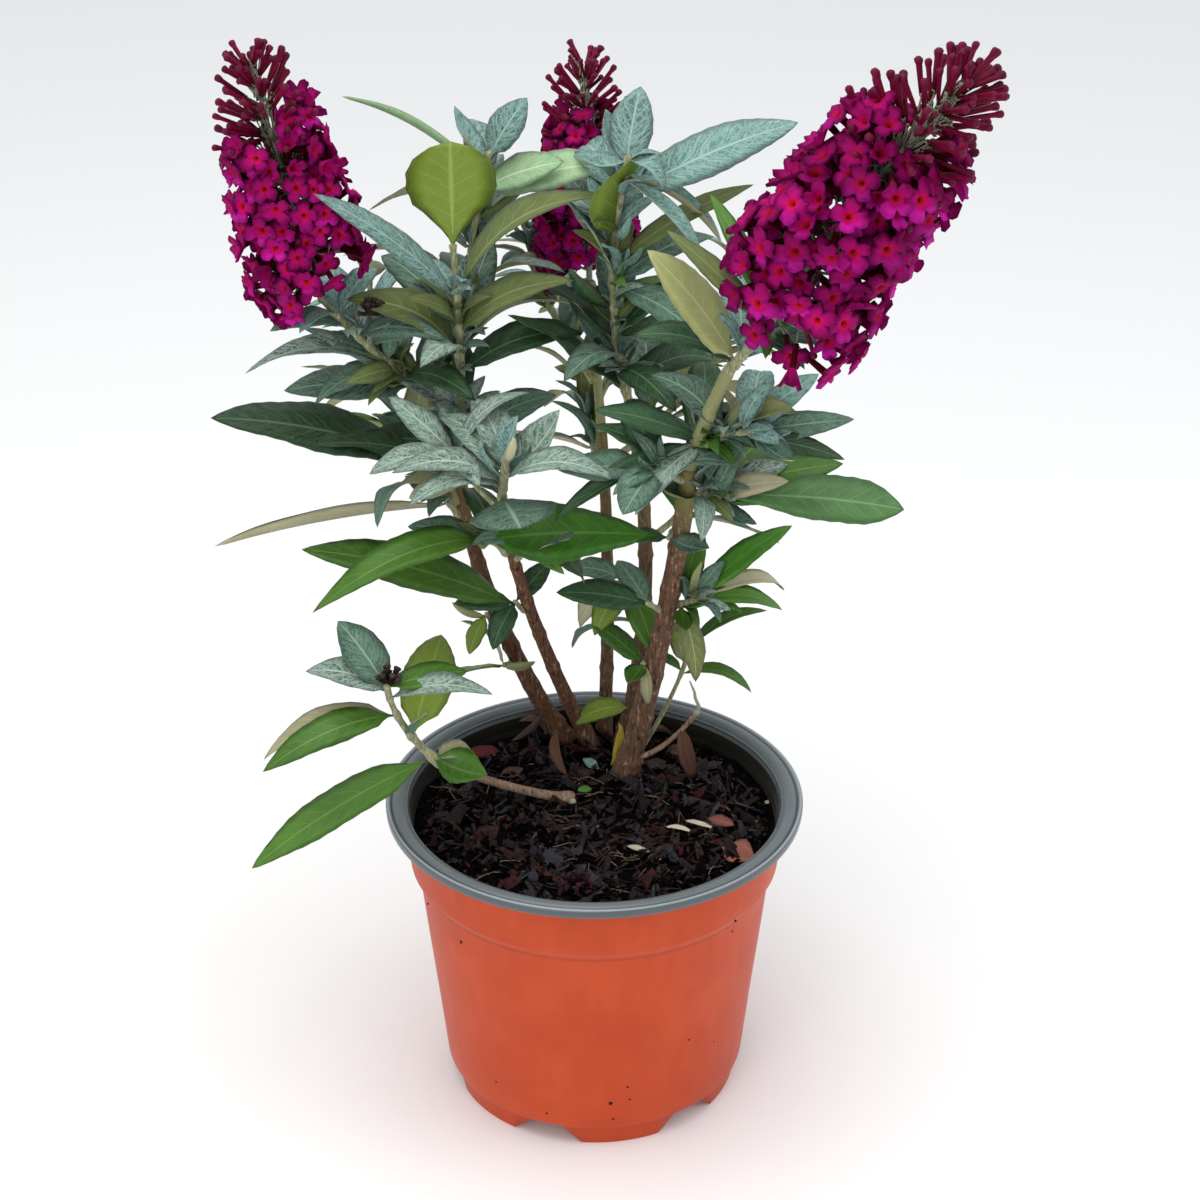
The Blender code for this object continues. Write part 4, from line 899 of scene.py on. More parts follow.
def floretShape(rng, openness):
    # A flower of four round lobes on its tube: hollow eye, two rings of the face, then the back and the tube.
    samples, eyeSides, tubeSides = 28, 14, 7
    which = np.arange(samples) // 7
    lobe = np.array([rng.uniform(0.86, 1.08) for _ in range(4)])[which]
    lean = np.array([rng.uniform(-16, 14) for _ in range(4)])[which]
    edge = np.array([rng.uniform(0.95, 1.03) for _ in range(samples)])
    radius = np.tile(flower["lobe"], 4) * flower["faceRadius"] * lobe * edge
    uneven = np.array([rng.uniform(-6, 6) for _ in range(samples)])
    bend = np.radians(np.clip(90 * openness - lean + uneven, 12, 114))
    middle = np.minimum(radius, flower["faceRadius"] * 0.88) * 0.58
    points, radial = [(0, 0, -1.8)], [0.0]

    def addRing(sides, reach, z, mark, shift=0.0):
        first = len(points)
        for i in range(sides):
            angle = (i + shift) * math.tau / sides
            points.append((math.cos(angle) * reach[i], math.sin(angle) * reach[i], z[i]))
            radial.append(mark)
        return first

    eyeRadius, tubeRadius = flower["eyeRadius"], flower["tubeRadius"]
    eye = addRing(eyeSides, [eyeRadius] * eyeSides, [-0.1] * eyeSides, 0.18)
    face, rim = (addRing(samples, eyeRadius + (reach - eyeRadius) * np.sin(bend * tilt),
                         reach * np.cos(bend * tilt), mark)
                 for reach, tilt, mark in ((middle, 0.84, 0.55), (radius, 1.0, 1.0)))
    neck = addRing(tubeSides, [tubeRadius * 1.4] * tubeSides, [-1.2] * tubeSides, 0.3, 0.5)
    foot = addRing(tubeSides, [tubeRadius] * tubeSides, [-flower["tubeLength"]] * tubeSides, 0.1, 0.5)
    faces = [(0, eye + i, eye + (i + 1) % eyeSides) for i in range(eyeSides)]
    for i in range(eyeSides):
        after, next1, next2 = (i + 1) % eyeSides, face + 2 * i + 1, face + (2 * i + 2) % samples
        faces += [(eye + i, face + 2 * i, next1, eye + after), (eye + after, next1, next2)]
    faces += [(face + i, rim + i, rim + (i + 1) % samples, face + (i + 1) % samples) for i in range(samples)]
    slots = [petalSlot] * len(faces)
    for i in range(tubeSides):
        after = (i + 1) % tubeSides
        faces += [(neck + i, rim + (4 * i + k + 1) % samples, rim + 4 * i + k) for k in range(4)]
        faces.append((neck + i, neck + after, rim + (4 * i + 4) % samples))
        faces.append((neck + i, foot + i, foot + after, neck + after))
        slots += [petalSlot] * 5 + [tubeSlot]
    faces.append(tuple(range(foot, foot + tubeSides))[::-1])
    return np.array(points), faces, slots + [tubeSlot], np.array(radial)


def budShape(length, rng):
    # A club: a long slim tube that swells a little to a blunt knob.
    sides = 6
    fat = rng.uniform(0.88, 1.12)
    lean = rng.uniform(-0.06, 0.06)
    points, radial = [], []
    for share, reach in flower["budOutline"]:
        for i in range(sides):
            angle = i * math.tau / sides
            points.append((math.cos(angle) * reach * fat + lean * length * share ** 2,
                           math.sin(angle) * reach * fat, length * share))
            radial.append(share)
    points.append((lean * length, 0, length * 1.01))
    rings = len(flower["budOutline"])
    last = (rings - 1) * sides
    faces = sleeve(rings, sides) + [(last + i, last + (i + 1) % sides, last + sides) for i in range(sides)]
    faces.append(tuple(range(sides))[::-1])
    return np.array(points), faces, np.stack((radial + [1.0], np.zeros(len(points))), axis=1)


petalLooks = {
    # name: colour from the eye, foot or base to the edge or tip, roughness, gloss
    "petal": ([(0.0, "#1c0106"), (0.12, "#94101a"), (0.24, "#bb0f3e"), (0.36, "#a20b60"), (0.7, "#860854"),
               (1.0, "#740748")], 0.6, 0.04),
    "flowerTube": ([(0.0, "#4e0718"), (0.5, "#52061c"), (1.0, "#7a0c34")], 0.5, 0.06),
    "budSkin": ([(0.0, "#4a0b18"), (0.45, "#6c0b2a"), (0.80, "#740b34"), (0.90, "#620a2e"), (1.0, "#5a092c")],
                0.42, 0.12),
    "spikeStalk": ([(0.0, "#989d86"), (1.0, "#918f74")], 0.8, 0.2),
    "driedHead": ([(0.0, "#33251d"), (0.6, "#1d1512"), (1.0, "#40332c")], 0.8, 0.1),
    "coneScale": ([(0.0, "#160a0d"), (0.6, "#200f14"), (1.0, "#3a2026")], 0.75, 0.1),
}
# painted light: the lighter hot pink of lobes that face up to the lamps
paintedLightPink = "#da24b2"


def flowerMaterials():
    # Thin petals: soft, hardly shiny, hot pink round a small red eye and more purple towards the edge.
    made = []
    for name, (stops, roughness, gloss) in petalLooks.items():
        mat, add, setShader = newMaterial(name, {"Roughness": roughness, "Specular IOR Level": gloss})
        uv = add("UVMap", {"uv_map": "blade"})
        out, litLobeShare, _ = add("SeparateXYZ", {"Vector": uv}).outputs
        tone = add("ValToRGB", {"stops": stops, "Fac": out})
        # Painted light: a brighter hot pink mixed in where a lobe hangs low and faces the light.
        glow = add("MapRange", {"Value": litLobeShare, "From Min": 0.45, "To Max": 0.75})
        warm = add("Mix", {"data_type": "RGBA", 0: glow, 6: tone, 7: linear(paintedLightPink)})
        place = add("TexCoord", {}).outputs["Object"]
        mottle = add("TexNoise", {"Scale": 520, "Detail": 3, "Vector": place})
        tint = add("Attribute", {"attribute_name": "tint"}).outputs["Fac"]
        depth = add("Math", {"operation": "MULTIPLY_ADD", 0: tint, 1: 0.9, 2: mottle})
        value = add("MapRange", {
            "Value": depth, "From Min": 0.4, "From Max": 1.5, "To Min": 1.24, "To Max": 0.60})
        final = add("HueSaturation", {"Color": warm, "Value": value})
        bump = add("Bump", {"Strength": 0.25, "Distance": 0.0003, "Height": mottle})
        setShader({"Base Color": final, "Normal": bump})
        made.append(mat)
    return made


def makeSpike(name, axis, materials):
    widest, flowerClusters, budClusters, bloom, bare, hanging = spikes[name][3:]
    rng = random.Random(name)
    openFlowers = [floretShape(rng, 1.0 - 0.1 * (i % 3)) for i in range(flower["variants"])]
    halfOpen = [floretShape(rng, 0.45 + 0.1 * i) for i in range(3)]
    bundle = Bundle()
    places = np.linspace(0, 0.97, 40)
    bundle.addTube([axis.point(0) - axis.tangent(0)] + [axis.point(t) for t in places],
                   [flower["stalkRadius"] * (1 - 0.6 * t) for t in (0, *places)], 7, stalkSlot)
    centres = []

    def clusterFrame(t, turn):
        along = axis.tangent(t)
        outward = turned(unit(np.cross(along, (0.0, 1.0, 0.0))), along, turn)
        return along, outward, axis.point(max(0, t - 0.03))

    def addFlower(facing, centre, joint, shape, size):
        # Painted light: lobes that hang lowest face up to the lamps, so they are painted a lighter hot pink,
        # except in the eye.
        points, faces, slots, radial = shape
        axes = frameFrom(facing, rng.uniform(0, 90))
        spots = placed(points * size, axes, centre)
        litLobeShare = np.clip(0.5 - (spots[:, 2] - centre[2]) / (1.6 * size * flower["faceRadius"]), 0, 1)
        litLobeShare *= np.clip((radial - 0.3) / 0.2, 0, 1) * rng.uniform(0.4, 1.0)
        bundle.add(spots, faces, slots, np.stack((radial, litLobeShare), axis=1), rng.random())
        foot = placed(np.array([(0, 0, -flower["tubeLength"] * size)]), axes, centre)[0]
        bundle.addTube([joint, (joint + foot) / 2, foot, foot + axes[2] * 1.8],
                       [0.35, 0.3, 0.5, 0.98 * size], 4, stalkSlot)

    def addBud(facing, reach, origin, joint):
        length = min(rng.uniform(*flower["budLength"]) * math.sqrt(bloom), reach - 2)
        points, faces, uvs = budShape(length, rng)
        foot = origin + facing * (reach - length)
        thick = np.array((0.85, 0.85, 1.0)) * math.sqrt(bloom) * rng.uniform(0.9, 1.05)
        bundle.add(placed(points * thick, frameFrom(facing, rng.uniform(0, 90)), foot), faces, budSlot, uvs,
                   rng.random())
        bundle.addTube([joint, (joint + foot) / 2, foot - facing, foot + facing * 1.4],
                       [0.32, 0.28, 0.4, 0.8 * bloom], 4, stalkSlot)

    first, last = flower["flowersStart"], flower["flowersEnd"]
    for index in range(flowerClusters):
        t = first + (last - first) * (index + 0.5) / flowerClusters
        along, outward, knee = clusterFrame(t, goldenTurn * index + rng.uniform(-12, 12))
        if (t - first) * axis.length() < outward @ np.array(bare):
            continue
        middle = unit(outward + along * 1.4 * (t - 0.28))
        reach = spikeRadius(t, widest)
        joint = knee + middle * reach * 0.3
        bundle.addTube([axis.point(max(0, t - 0.07)), joint], [0.7, 0.5], 5, stalkSlot)
        spread = np.cross(middle, along)
        for k in range(flower["inCluster"]):
            for _ in range(7):
                leaning = turned(spread, middle, rng.uniform(0, 360)) * rng.uniform(*flower["spread"])
                facing = unit(middle + leaning)
                share = rng.uniform(*flower["innerReach" if k % 3 == 2 else "outerReach"])
                centre = axis.point(t) + facing * reach * share
                apart = min((np.linalg.norm(centre - other) for other in centres), default=99)
                if apart > flower["closest"] * bloom:
                    break
            else:
                continue
            centres.append(centre)
            closed = t > last - 0.1 and rng.random() < 0.4 or rng.random() < 0.07
            look = unit(facing + scatter(rng, 0.3))
            shape = rng.choice(halfOpen if closed else openFlowers)
            addFlower(look, centre, joint, shape, rng.uniform(*flower["sizes"]) * bloom)
        for _ in range(flower["closedInCluster"]):
            facing = unit(middle + turned(spread, middle, rng.uniform(0, 360)) * rng.uniform(0.1, 0.6))
            addBud(facing, reach * rng.uniform(0.6, 0.84), axis.point(t), joint)
    for centre, look in hanging:
        addFlower(unit(look), np.array(centre, float), axis.point(0.02), openFlowers[0], 0.95 * bloom)

    for index in range(budClusters):
        t = flower["budsStart"] + (0.985 - flower["budsStart"]) * (index + 0.5) / budClusters
        along, outward, joint = clusterFrame(t, goldenTurn * index)
        for _ in range(flower["budsInCluster"]):
            side = turned(outward, along, rng.uniform(-55, 55))
            facing = unit(side + along * (0.5 + 2.6 * max(0, t - 0.66) + rng.uniform(-0.25, 0.35)))
            sine = np.linalg.norm(np.cross(facing, along))
            reach = spikeRadius(min(1, t + 0.06), widest) / max(sine, 0.62) * rng.uniform(0.8, 1.05) + 1.5
            addBud(facing, reach * (1 - 0.9 * max(0, t - 0.8)), axis.point(t), joint + side * 2)
        for _ in range(2):
            leaning = unit(turned(outward, along, rng.uniform(-60, 60)) + along * 1.1)
            tip = axis.point(t) + leaning * rng.uniform(4, 9)
            bundle.addTube([joint, (joint + tip) / 2, tip], [0.25, 0.3, 0.1], 3, stalkSlot)
    print(name, len(centres), "flowers,", len(bundle.faces), "faces")
    bundle.build(name + "_flowers", materials, "flower_magenta", [name])


# Pot: a thin terracotta-coloured shell with six flat feet, and a grey liner rolled over its top

pot = {
    "segments": 128, "wall": 1.1, "floorTop": 10.1, "floorUnderside": 8.6, "padRadius": 12.0,
    "footInner": 52.0, "footOuter": 59.6, "feet": 6, "footSpan": 48.0, "firstFoot": 280.5, "gapFlare": 3.8,
    "drainRadius": 4.0, "drainCircle": 40.0, "wallFoot": (62.6, 11.4), "step": (72.4, 100.6),
    "shoulder": (75.6, 105.0), "shellTop": (77.8, 129.9),
    "wallEdge": [(59.6, 9.3), (61.2, 9.4), (62.1, 10.0)],
    "bevel": 0.45, "bevelFrom": 24, "waviness": 0.14, "swayAbove": 12, "stainAndShadeWithin": 75.3,
    # the liner's outline: up its inside, over the bead, groove and lip of the rim, and back within the wall
    "liner": [
        (74, 112), (74.2, 117.5), (74.5, 118.2), (74.2, 119), (74.4, 122), (74.9, 122.6), (74.6, 123.4),
        (75, 126.4), (75.4, 128.2), (77, 130.3), (78.6, 131.5), (79.6, 131.95), (81.4, 132), (82.2, 131.5),
        (82.7, 131), (83.2, 131.3), (83.8, 132), (84.5, 131.9), (84.9, 131.5), (85, 131), (84.8, 128.5),
        (84.1, 128.5), (83.8, 130.3), (76.2, 130.3), (76.1, 128.5), (74.8, 112)],
    # colour bands across the rim by radius: painted shade in the groove, a painted highlight along the bead
    "rimShadeAndHighlightBands": [(0.1, "#4c5254"), (0.3, "#62696c"), (0.58, "#646c6f"), (0.68, "#33383a"), (0.78, "#aab4b8"),
                 (0.85, "#8b9498"), (0.885, "#4a5053"), (0.91, "#3f4548")],
    # heading, height, size of specks of soil on the wall
    "specks": [
        (276, 24, 1.1), (282, 32, 0.6), (283, 25, 0.5), (277, 15, 0.6), (252, 16, 0.6), (222, 92, 0.9),
        (318, 104, 0.6), (320, 96, 0.5), (305, 49, 0.5), (318, 40, 0.5), (231, 24, 0.5), (207, 101, 0.5),
        (95, 60, 0.6), (140, 34, 0.8), (20, 70, 0.6), (55, 25, 0.9)],
}


def spun(outline, bevelFrom=None):
    # Spins an outline of (radius, height) once round, and rounds its sharp rings.
    bm = bmesh.new()
    verts = [bm.verts.new((r, 0, z)) for r, z in outline]
    edges = [bm.edges.new((a, b)) for a, b in zip(verts, verts[1:] + verts[:1]) if a.co.x > 0 or b.co.x > 0]
    bmesh.ops.spin(bm, geom=verts + edges, cent=(0, 0, 0), axis=(0, 0, 1), dvec=(0, 0, 0),
                   angle=math.tau, steps=pot["segments"], use_merge=True)
    bmesh.ops.remove_doubles(bm, verts=bm.verts, dist=0.01)
    bmesh.ops.recalc_face_normals(bm, faces=bm.faces)
    if bevelFrom:
        least = math.radians(bevelFrom)
        sharp = [e for e in bm.edges if len(e.link_faces) == 2 and e.calc_face_angle() > least]
        bmesh.ops.bevel(bm, geom=sharp, offset=pot["bevel"], affect="EDGES", segments=2, profile=0.5,
                        material=-1)
    return bm


def potCutters():
    # Blocks that leave six feet, wider towards the ground, and the drain holes between them.
    inner, outer, pitch = pot["footInner"], pot["footOuter"], 360 / pot["feet"]
    width = 2 * outer * math.sin(math.radians((pitch - pot["footSpan"]) / 2))
    cutters = []
    for index in range(pot["feet"]):
        heading = pot["firstFoot"] + (index + 0.5) * pitch
        block = bmesh.new()
        bmesh.ops.create_cube(block, size=1)
        bmesh.ops.scale(block, vec=(outer - inner + 4, width, pot["floorUnderside"] * 2), verts=block.verts)
        bmesh.ops.scale(block, vec=(1, pot["gapFlare"], 1), verts=[v for v in block.verts if v.co.z < 0])
        bmesh.ops.translate(block, vec=((outer + inner) / 2, 0, 0), verts=block.verts)
        bmesh.ops.rotate(block, matrix=Matrix.Rotation(math.radians(heading), 3, "Z"), verts=block.verts)
        drain = bmesh.new()
        bmesh.ops.create_cone(drain, cap_ends=True, segments=24, radius1=pot["drainRadius"],
                              radius2=pot["drainRadius"], depth=pot["floorTop"])
        bmesh.ops.translate(drain, vec=direction(heading) * pot["drainCircle"] + up * pot["floorTop"],
                            verts=drain.verts)
        cutters += [block, drain]
    return cutters


def mouldedPlastic(name, base, deeper, roughness, streak, gloss=0.25, rings=None, shadeLineHeight=None):
    # Injection-moulded polypropylene: an even satin skin with a faint grain, cloudy where the pigment varies.
    mat, add, setShader = newMaterial(name, {
        "Roughness": roughness, "Specular IOR Level": gloss, "Sheen Weight": 0.08, "Sheen Roughness": 0.4})
    place = add("TexCoord", {}).outputs["Object"]
    cloud = add("TexNoise", {"Scale": 26, "Detail": 4, "Roughness": 0.55, "Vector": place})
    flow = add("Mapping", {"Scale": (1, 1, streak), "Vector": place})
    streaks = add("TexNoise", {"Scale": 150, "Detail": 3, "Vector": flow})
    both = add("Math", {"operation": "MULTIPLY_ADD", 0: streaks, 1: 0.4, 2: cloud})
    share = add("MapRange", {"Value": both, "From Min": 0.5, "From Max": 0.95})
    colour = add("Mix", {"data_type": "RGBA", 0: share, 6: linear(base), 7: linear(deeper)})
    grain = add("TexNoise", {"Scale": 1500, "Detail": 2, "Vector": place})
    rough = add("MapRange", {
        "Value": both, "From Min": 0.3, "From Max": 0.7,
        "To Min": roughness - 0.06, "To Max": roughness + 0.08})
    bump = add("Bump", {"Strength": 0.12, "Distance": 0.0002, "Height": grain})
    if rings:
        # Painted shade in the groove of the rim and a painted highlight along the bead, by distance from the
        # middle.
        flat = add("VectorMath", {"operation": "MULTIPLY", 0: place, 1: (1, 1, 0)})
        away = add("VectorMath", {"operation": "LENGTH", 0: flat})
        band = add("MapRange", {"Value": away, "From Min": 76 * mm, "From Max": 86 * mm})
        ramp = add("ValToRGB", {"stops": rings, "Fac": band})
        colour = add("Mix", {"data_type": "RGBA", 0: 0.8, 6: colour, 7: ramp})
    if shadeLineHeight:
        # Painted shade: a soft dark line in the corner below the ledge, where the overhanging shoulder shades
        # the wall.
        height = add("SeparateXYZ", {"Vector": place}).outputs["Z"]
        off = add("Math", {"operation": "SUBTRACT", 0: height, 1: shadeLineHeight * mm})
        size = add("Math", {"operation": "ABSOLUTE", 0: off})
        shade = add("MapRange", {"Value": size, "From Max": 1.5 * mm, "To Min": 0.5, "To Max": 0})
        colour = add("Mix", {"data_type": "RGBA", 0: shade, 6: colour, 7: linear("#8a2c10")})
    setShader({"Base Color": colour, "Roughness": rough, "Normal": bump})
    return mat


def steps(low, high, count):
    # Points of a straight piece of an outline.
    return [(low[0] + (high[0] - low[0]) * k / count, low[1] + (high[1] - low[1]) * k / count)
            for k in range(count + 1)]


def makePot():
    wallLow, stepLow = pot["wallFoot"], pot["step"]
    shoulder, top, wall = pot["shoulder"], pot["shellTop"], pot["wall"]
    floor, under = pot["floorTop"], pot["floorUnderside"]
    bm = spun([
        (0, 0), (pot["padRadius"], 0), (pot["padRadius"] + 1, under), (pot["footInner"], under),
        (pot["footInner"] + 0.6, 0), (pot["footOuter"] - 0.4, 0), *pot["wallEdge"],
        *steps(wallLow, stepLow, 12), *steps(shoulder, top, 5), (top[0] - wall, top[1]),
        (shoulder[0] - wall, shoulder[1] + 0.4), (stepLow[0] - wall, stepLow[1] + 0.4),
        (wallLow[0] - wall, wallLow[1]), (60.6, floor), (0, floor)], pot["bevelFrom"])
    for vert in bm.verts:
        # The wall is never quite round.
        if vert.co.z > pot["swayAbove"] and vert.co.xy.length > pot["drainCircle"]:
            sway = noise.noise(vert.co * 0.035) * pot["waviness"]
            vert.co += Vector((vert.co.x, vert.co.y, 0)).normalized() * sway
    # The terracotta gets a painted shadow line just under the ledge.
    terracotta = mouldedPlastic("terracottaPlastic", "#bf461d", "#b03b15", 0.45, 0.3, shadeLineHeight=stepLow[1])
    shell = finishMesh(bm, "pot_terracotta", terracotta, 40)
    dress(shell, ["pot_shell"])
    cutters = [finishMesh(cutter, "cutter", terracotta, 40) for cutter in potCutters()]
    for cutter in cutters:
        bpy.context.scene.collection.objects.link(cutter)
        modifier = shell.modifiers.new("cut", "BOOLEAN")
        modifier.operation, modifier.solver, modifier.object = "DIFFERENCE", "EXACT", cutter
    finished = bpy.data.meshes.new_from_object(shell.evaluated_get(bpy.context.evaluated_depsgraph_get()))
    shell.modifiers.clear()
    shell.data = finished
    for cutter in cutters:
        bpy.data.objects.remove(cutter, do_unlink=True)

    liner = spun(pot["liner"])
    for face in liner.faces:
        # Inside, below the rim, the liner is darkened: partly stained by the soil, partly painted shade of
        # the pot's shadowed inside.
        centre = face.calc_center_median()
        face.material_index = int(centre.xy.length < pot["stainAndShadeWithin"] and face.normal.xy @ centre.xy < 0)
    # The grey rim carries painted shade and highlight bands.
    grey = mouldedPlastic("greyPlastic", "#646b6d", "#545a5c", 0.24, 8, 0.5, pot["rimShadeAndHighlightBands"])
    rim = finishMesh(liner, "pot_rim", grey, 50)
    # The dark inner material is soil stain together with painted shade.
    rim.data.materials.append(mouldedPlastic("stainedAndShadedPlastic", "#211e17", "#100e0b", 0.6, 8, 0.15))
    dress(rim, ["pot_liner"])

    specks = Bundle()
    rng = random.Random(5)
    sides = 7
    for heading, height, size in pot["specks"]:
        low, high = (wallLow, stepLow) if height < stepLow[1] else (shoulder, top)
        share = (height - low[1]) / (high[1] - low[1])
        out = direction(heading)
        centre = out * (low[0] + (high[0] - low[0]) * share) + up * height
        axes = frameFrom(out, rng.uniform(0, 90))
        points = [(math.cos(k * math.tau / sides) * size * rng.uniform(0.6, 1.1),
                   math.sin(k * math.tau / sides) * size * rng.uniform(0.6, 1.1), z)
                  for z in (-0.4, 0.1) for k in range(sides)] + [(0, 0, 0.3), (0, 0, -0.4)]
        faces = sleeve(2, sides) + [(sides + k, sides + (k + 1) % sides, 2 * sides) for k in range(sides)]
        faces += [((k + 1) % sides, k, 2 * sides + 1) for k in range(sides)]
        specks.add(placed(np.array(points), axes, centre), faces, 0)
    specks.build("pot_specks", [mulchMaterial("driedSoil", "#3a1a10", "#1c0d08", 0.9)], "bark_mulch")
    print("pot")


# Soil: damp bark mulch with chips, fibres and fallen leaves

soil = {
    "rings": 62, "segments": 180, "edge": 73.6, "below": ((73.2, 111.4), (70.3, 99.0), (60.2, 11.6)),
    "lumps": ((13.0, 1.8), (5.0, 1.4), (2.0, 0.6)), "seed": 21, "chips": 1450, "crumbs": 700, "fibres": 230,
    "chipLengths": (4, 6, 7, 9, 12, 15), "chipBreadth": (0.14, 0.42), "chipThickness": (0.5, 1.3),
    "chipTilt": 54, "crumbSize": (0.6, 1.9), "crumbTilt": 60,
    "fibreLength": (6, 18), "fibreBend": 70, "fibreRadius": 0.22, "fibreParts": 6,
    "chipOutline": ((-0.5, -0.2), (-0.2, -0.5), (0.45, -0.35), (0.5, 0.15), (0.1, 0.5), (-0.4, 0.3)),
    "chipShares": {
        "brownChip": 0.36, "purpleChip": 0.15, "greyChip": 0.12, "redChip": 0.07, "dampBark": 0.30},
    "crumbShares": {"dampBark": 0.4, "brownChip": 0.4, "greyChip": 0.17, "paleSliver": 0.03},
    "fibreShares": {"paleFibre": 0.35, "greyChip": 0.65},
}


def soilHeight(x, y):
    return soilTop + sum(tall * noise.noise(Vector((x / size, y / size, size)))
                         for size, tall in soil["lumps"])


def mulchMaterial(name, base, deeper, roughness, gloss=0.2):
    # Damp composted bark: nearly black in its hollows, with dull brown fibre showing where it is torn.
    mat, add, setShader = newMaterial(name, {"Roughness": roughness, "Specular IOR Level": gloss})
    place = add("TexCoord", {}).outputs["Object"]
    grit = add("TexNoise", {"Scale": 480, "Detail": 5, "Roughness": 0.7, "Vector": place})
    share = add("MapRange", {"Value": grit, "From Min": 0.38, "From Max": 0.62})
    colour = add("Mix", {"data_type": "RGBA", 0: share, 6: linear(deeper), 7: linear(base)})
    bump = add("Bump", {"Strength": 0.8, "Distance": 0.0008, "Height": grit})
    setShader({"Base Color": colour, "Normal": bump})
    return mat


mulchColours = {
    "dampBark": ("#070303", "#020101", 0.8, 0.05), "brownChip": ("#231010", "#090404", 0.45, 0.2),
    "purpleChip": ("#211b28", "#08070c", 0.32, 0.4), "redChip": ("#461b1b", "#1c0808", 0.5, 0.15),
    "greyChip": ("#3e2e2b", "#181010", 0.5, 0.2), "paleFibre": ("#8a7866", "#5a4a3e", 0.8),
    "paleSliver": ("#c2b8a0", "#958970", 0.7),
}
mulchOrder = list(mulchColours)


def addChip(bundle, centre, length, width, thick, axes, slot, rng):
    # A torn splinter: a flat prism with uneven ends.
    points = [(x * length * rng.uniform(0.75, 1.1), y * width * rng.uniform(0.7, 1.2),
               z * thick * rng.uniform(0.6, 1.3)) for z in (-0.5, 0.5) for x, y in soil["chipOutline"]]
    faces = sleeve(2, 6) + [(5, 4, 3, 2, 1, 0), (6, 7, 8, 9, 10, 11)]
    bundle.add(placed(np.array(points), axes, centre), faces, slot)


def makeSoil():
    bm = bmesh.new()
    bmesh.ops.create_circle(bm, segments=soil["segments"], radius=soil["edge"])
    bmesh.ops.translate(bm, vec=(0, 0, soilTop), verts=bm.verts)
    inner = outer = bm.edges[:]
    for k in range(soil["rings"], 1, -1):
        inner, verts = extruded(bm, inner)
        bmesh.ops.scale(bm, vec=((k - 1) / k, (k - 1) / k, 1), verts=verts)
    bmesh.ops.holes_fill(bm, edges=inner, sides=0)
    for vert in bm.verts:
        vert.co.z = soilHeight(vert.co.x, vert.co.y)
    for radius, height in soil["below"]:
        outer, verts = extruded(bm, outer)
        for vert in verts:
            vert.co = (*vert.co.xy.normalized() * radius, height)
    bmesh.ops.holes_fill(bm, edges=outer, sides=0)
    bmesh.ops.recalc_face_normals(bm, faces=bm.faces)
    materials = [mulchMaterial(name, *look) for name, look in mulchColours.items()]
    dress(finishMesh(bm, "soil_bed", materials[0], 60), ["soil"])

    rng = random.Random(soil["seed"])
    bundle = Bundle()

    def spot(edge):
        while True:
            x, y = rng.uniform(-1, 1) * soil["edge"], rng.uniform(-1, 1) * soil["edge"]
            if math.hypot(x, y) < soil["edge"] - edge:
                return x, y

    def lying(tilt):
        lean = np.array([rng.uniform(-1, 1), rng.uniform(-1, 1), 0]) * math.tan(math.radians(tilt))
        return frameFrom(up + lean, rng.uniform(0, 360))

    def kindOf(shares):
        return mulchOrder.index(rng.choices(list(shares), list(shares.values()))[0])

    for _ in range(soil["chips"]):
        length = rng.choice(soil["chipLengths"]) * rng.uniform(0.7, 1.2)
        x, y = spot(length / 2 + 0.5)
        slot = kindOf(soil["chipShares"])
        thick = rng.uniform(*soil["chipThickness"])
        breadth = length * rng.uniform(*soil["chipBreadth"])
        place = x, y, soilHeight(x, y) + thick * 0.6
        addChip(bundle, place, length, breadth, thick, lying(soil["chipTilt"]), slot, rng)
    for _ in range(soil["crumbs"]):
        x, y = spot(1.5)
        size = rng.uniform(*soil["crumbSize"])
        slot = kindOf(soil["crumbShares"])
        place = x, y, soilHeight(x, y) + size * 0.4
        addChip(bundle, place, size * 1.3, size, size * 0.9, lying(soil["crumbTilt"]), slot, rng)
    for _ in range(soil["fibres"]):
        length = rng.uniform(*soil["fibreLength"])
        x, y = spot(length * 0.8)
        heading, bend = rng.uniform(0, 360), rng.uniform(-1, 1) * soil["fibreBend"]
        line, parts = [], soil["fibreParts"]
        for k in range(parts + 1):
            line.append((x, y, soilHeight(x, y) + 0.7 + math.sin(k / parts * math.pi)))
            x, y, _ = (x, y, 0) + direction(heading + bend * k / parts) * length / parts
        bundle.addTube(line, [soil["fibreRadius"]] * len(line), 3, kindOf(soil["fibreShares"]))
    bundle.build("soil_chips", materials, "bark_mulch", ["soil"], smooth=False)
    print("soil", len(bundle.faces), "faces")


# Fallen and hanging leaves, dried heads and other small things: from, to, width, habit, finish, roll

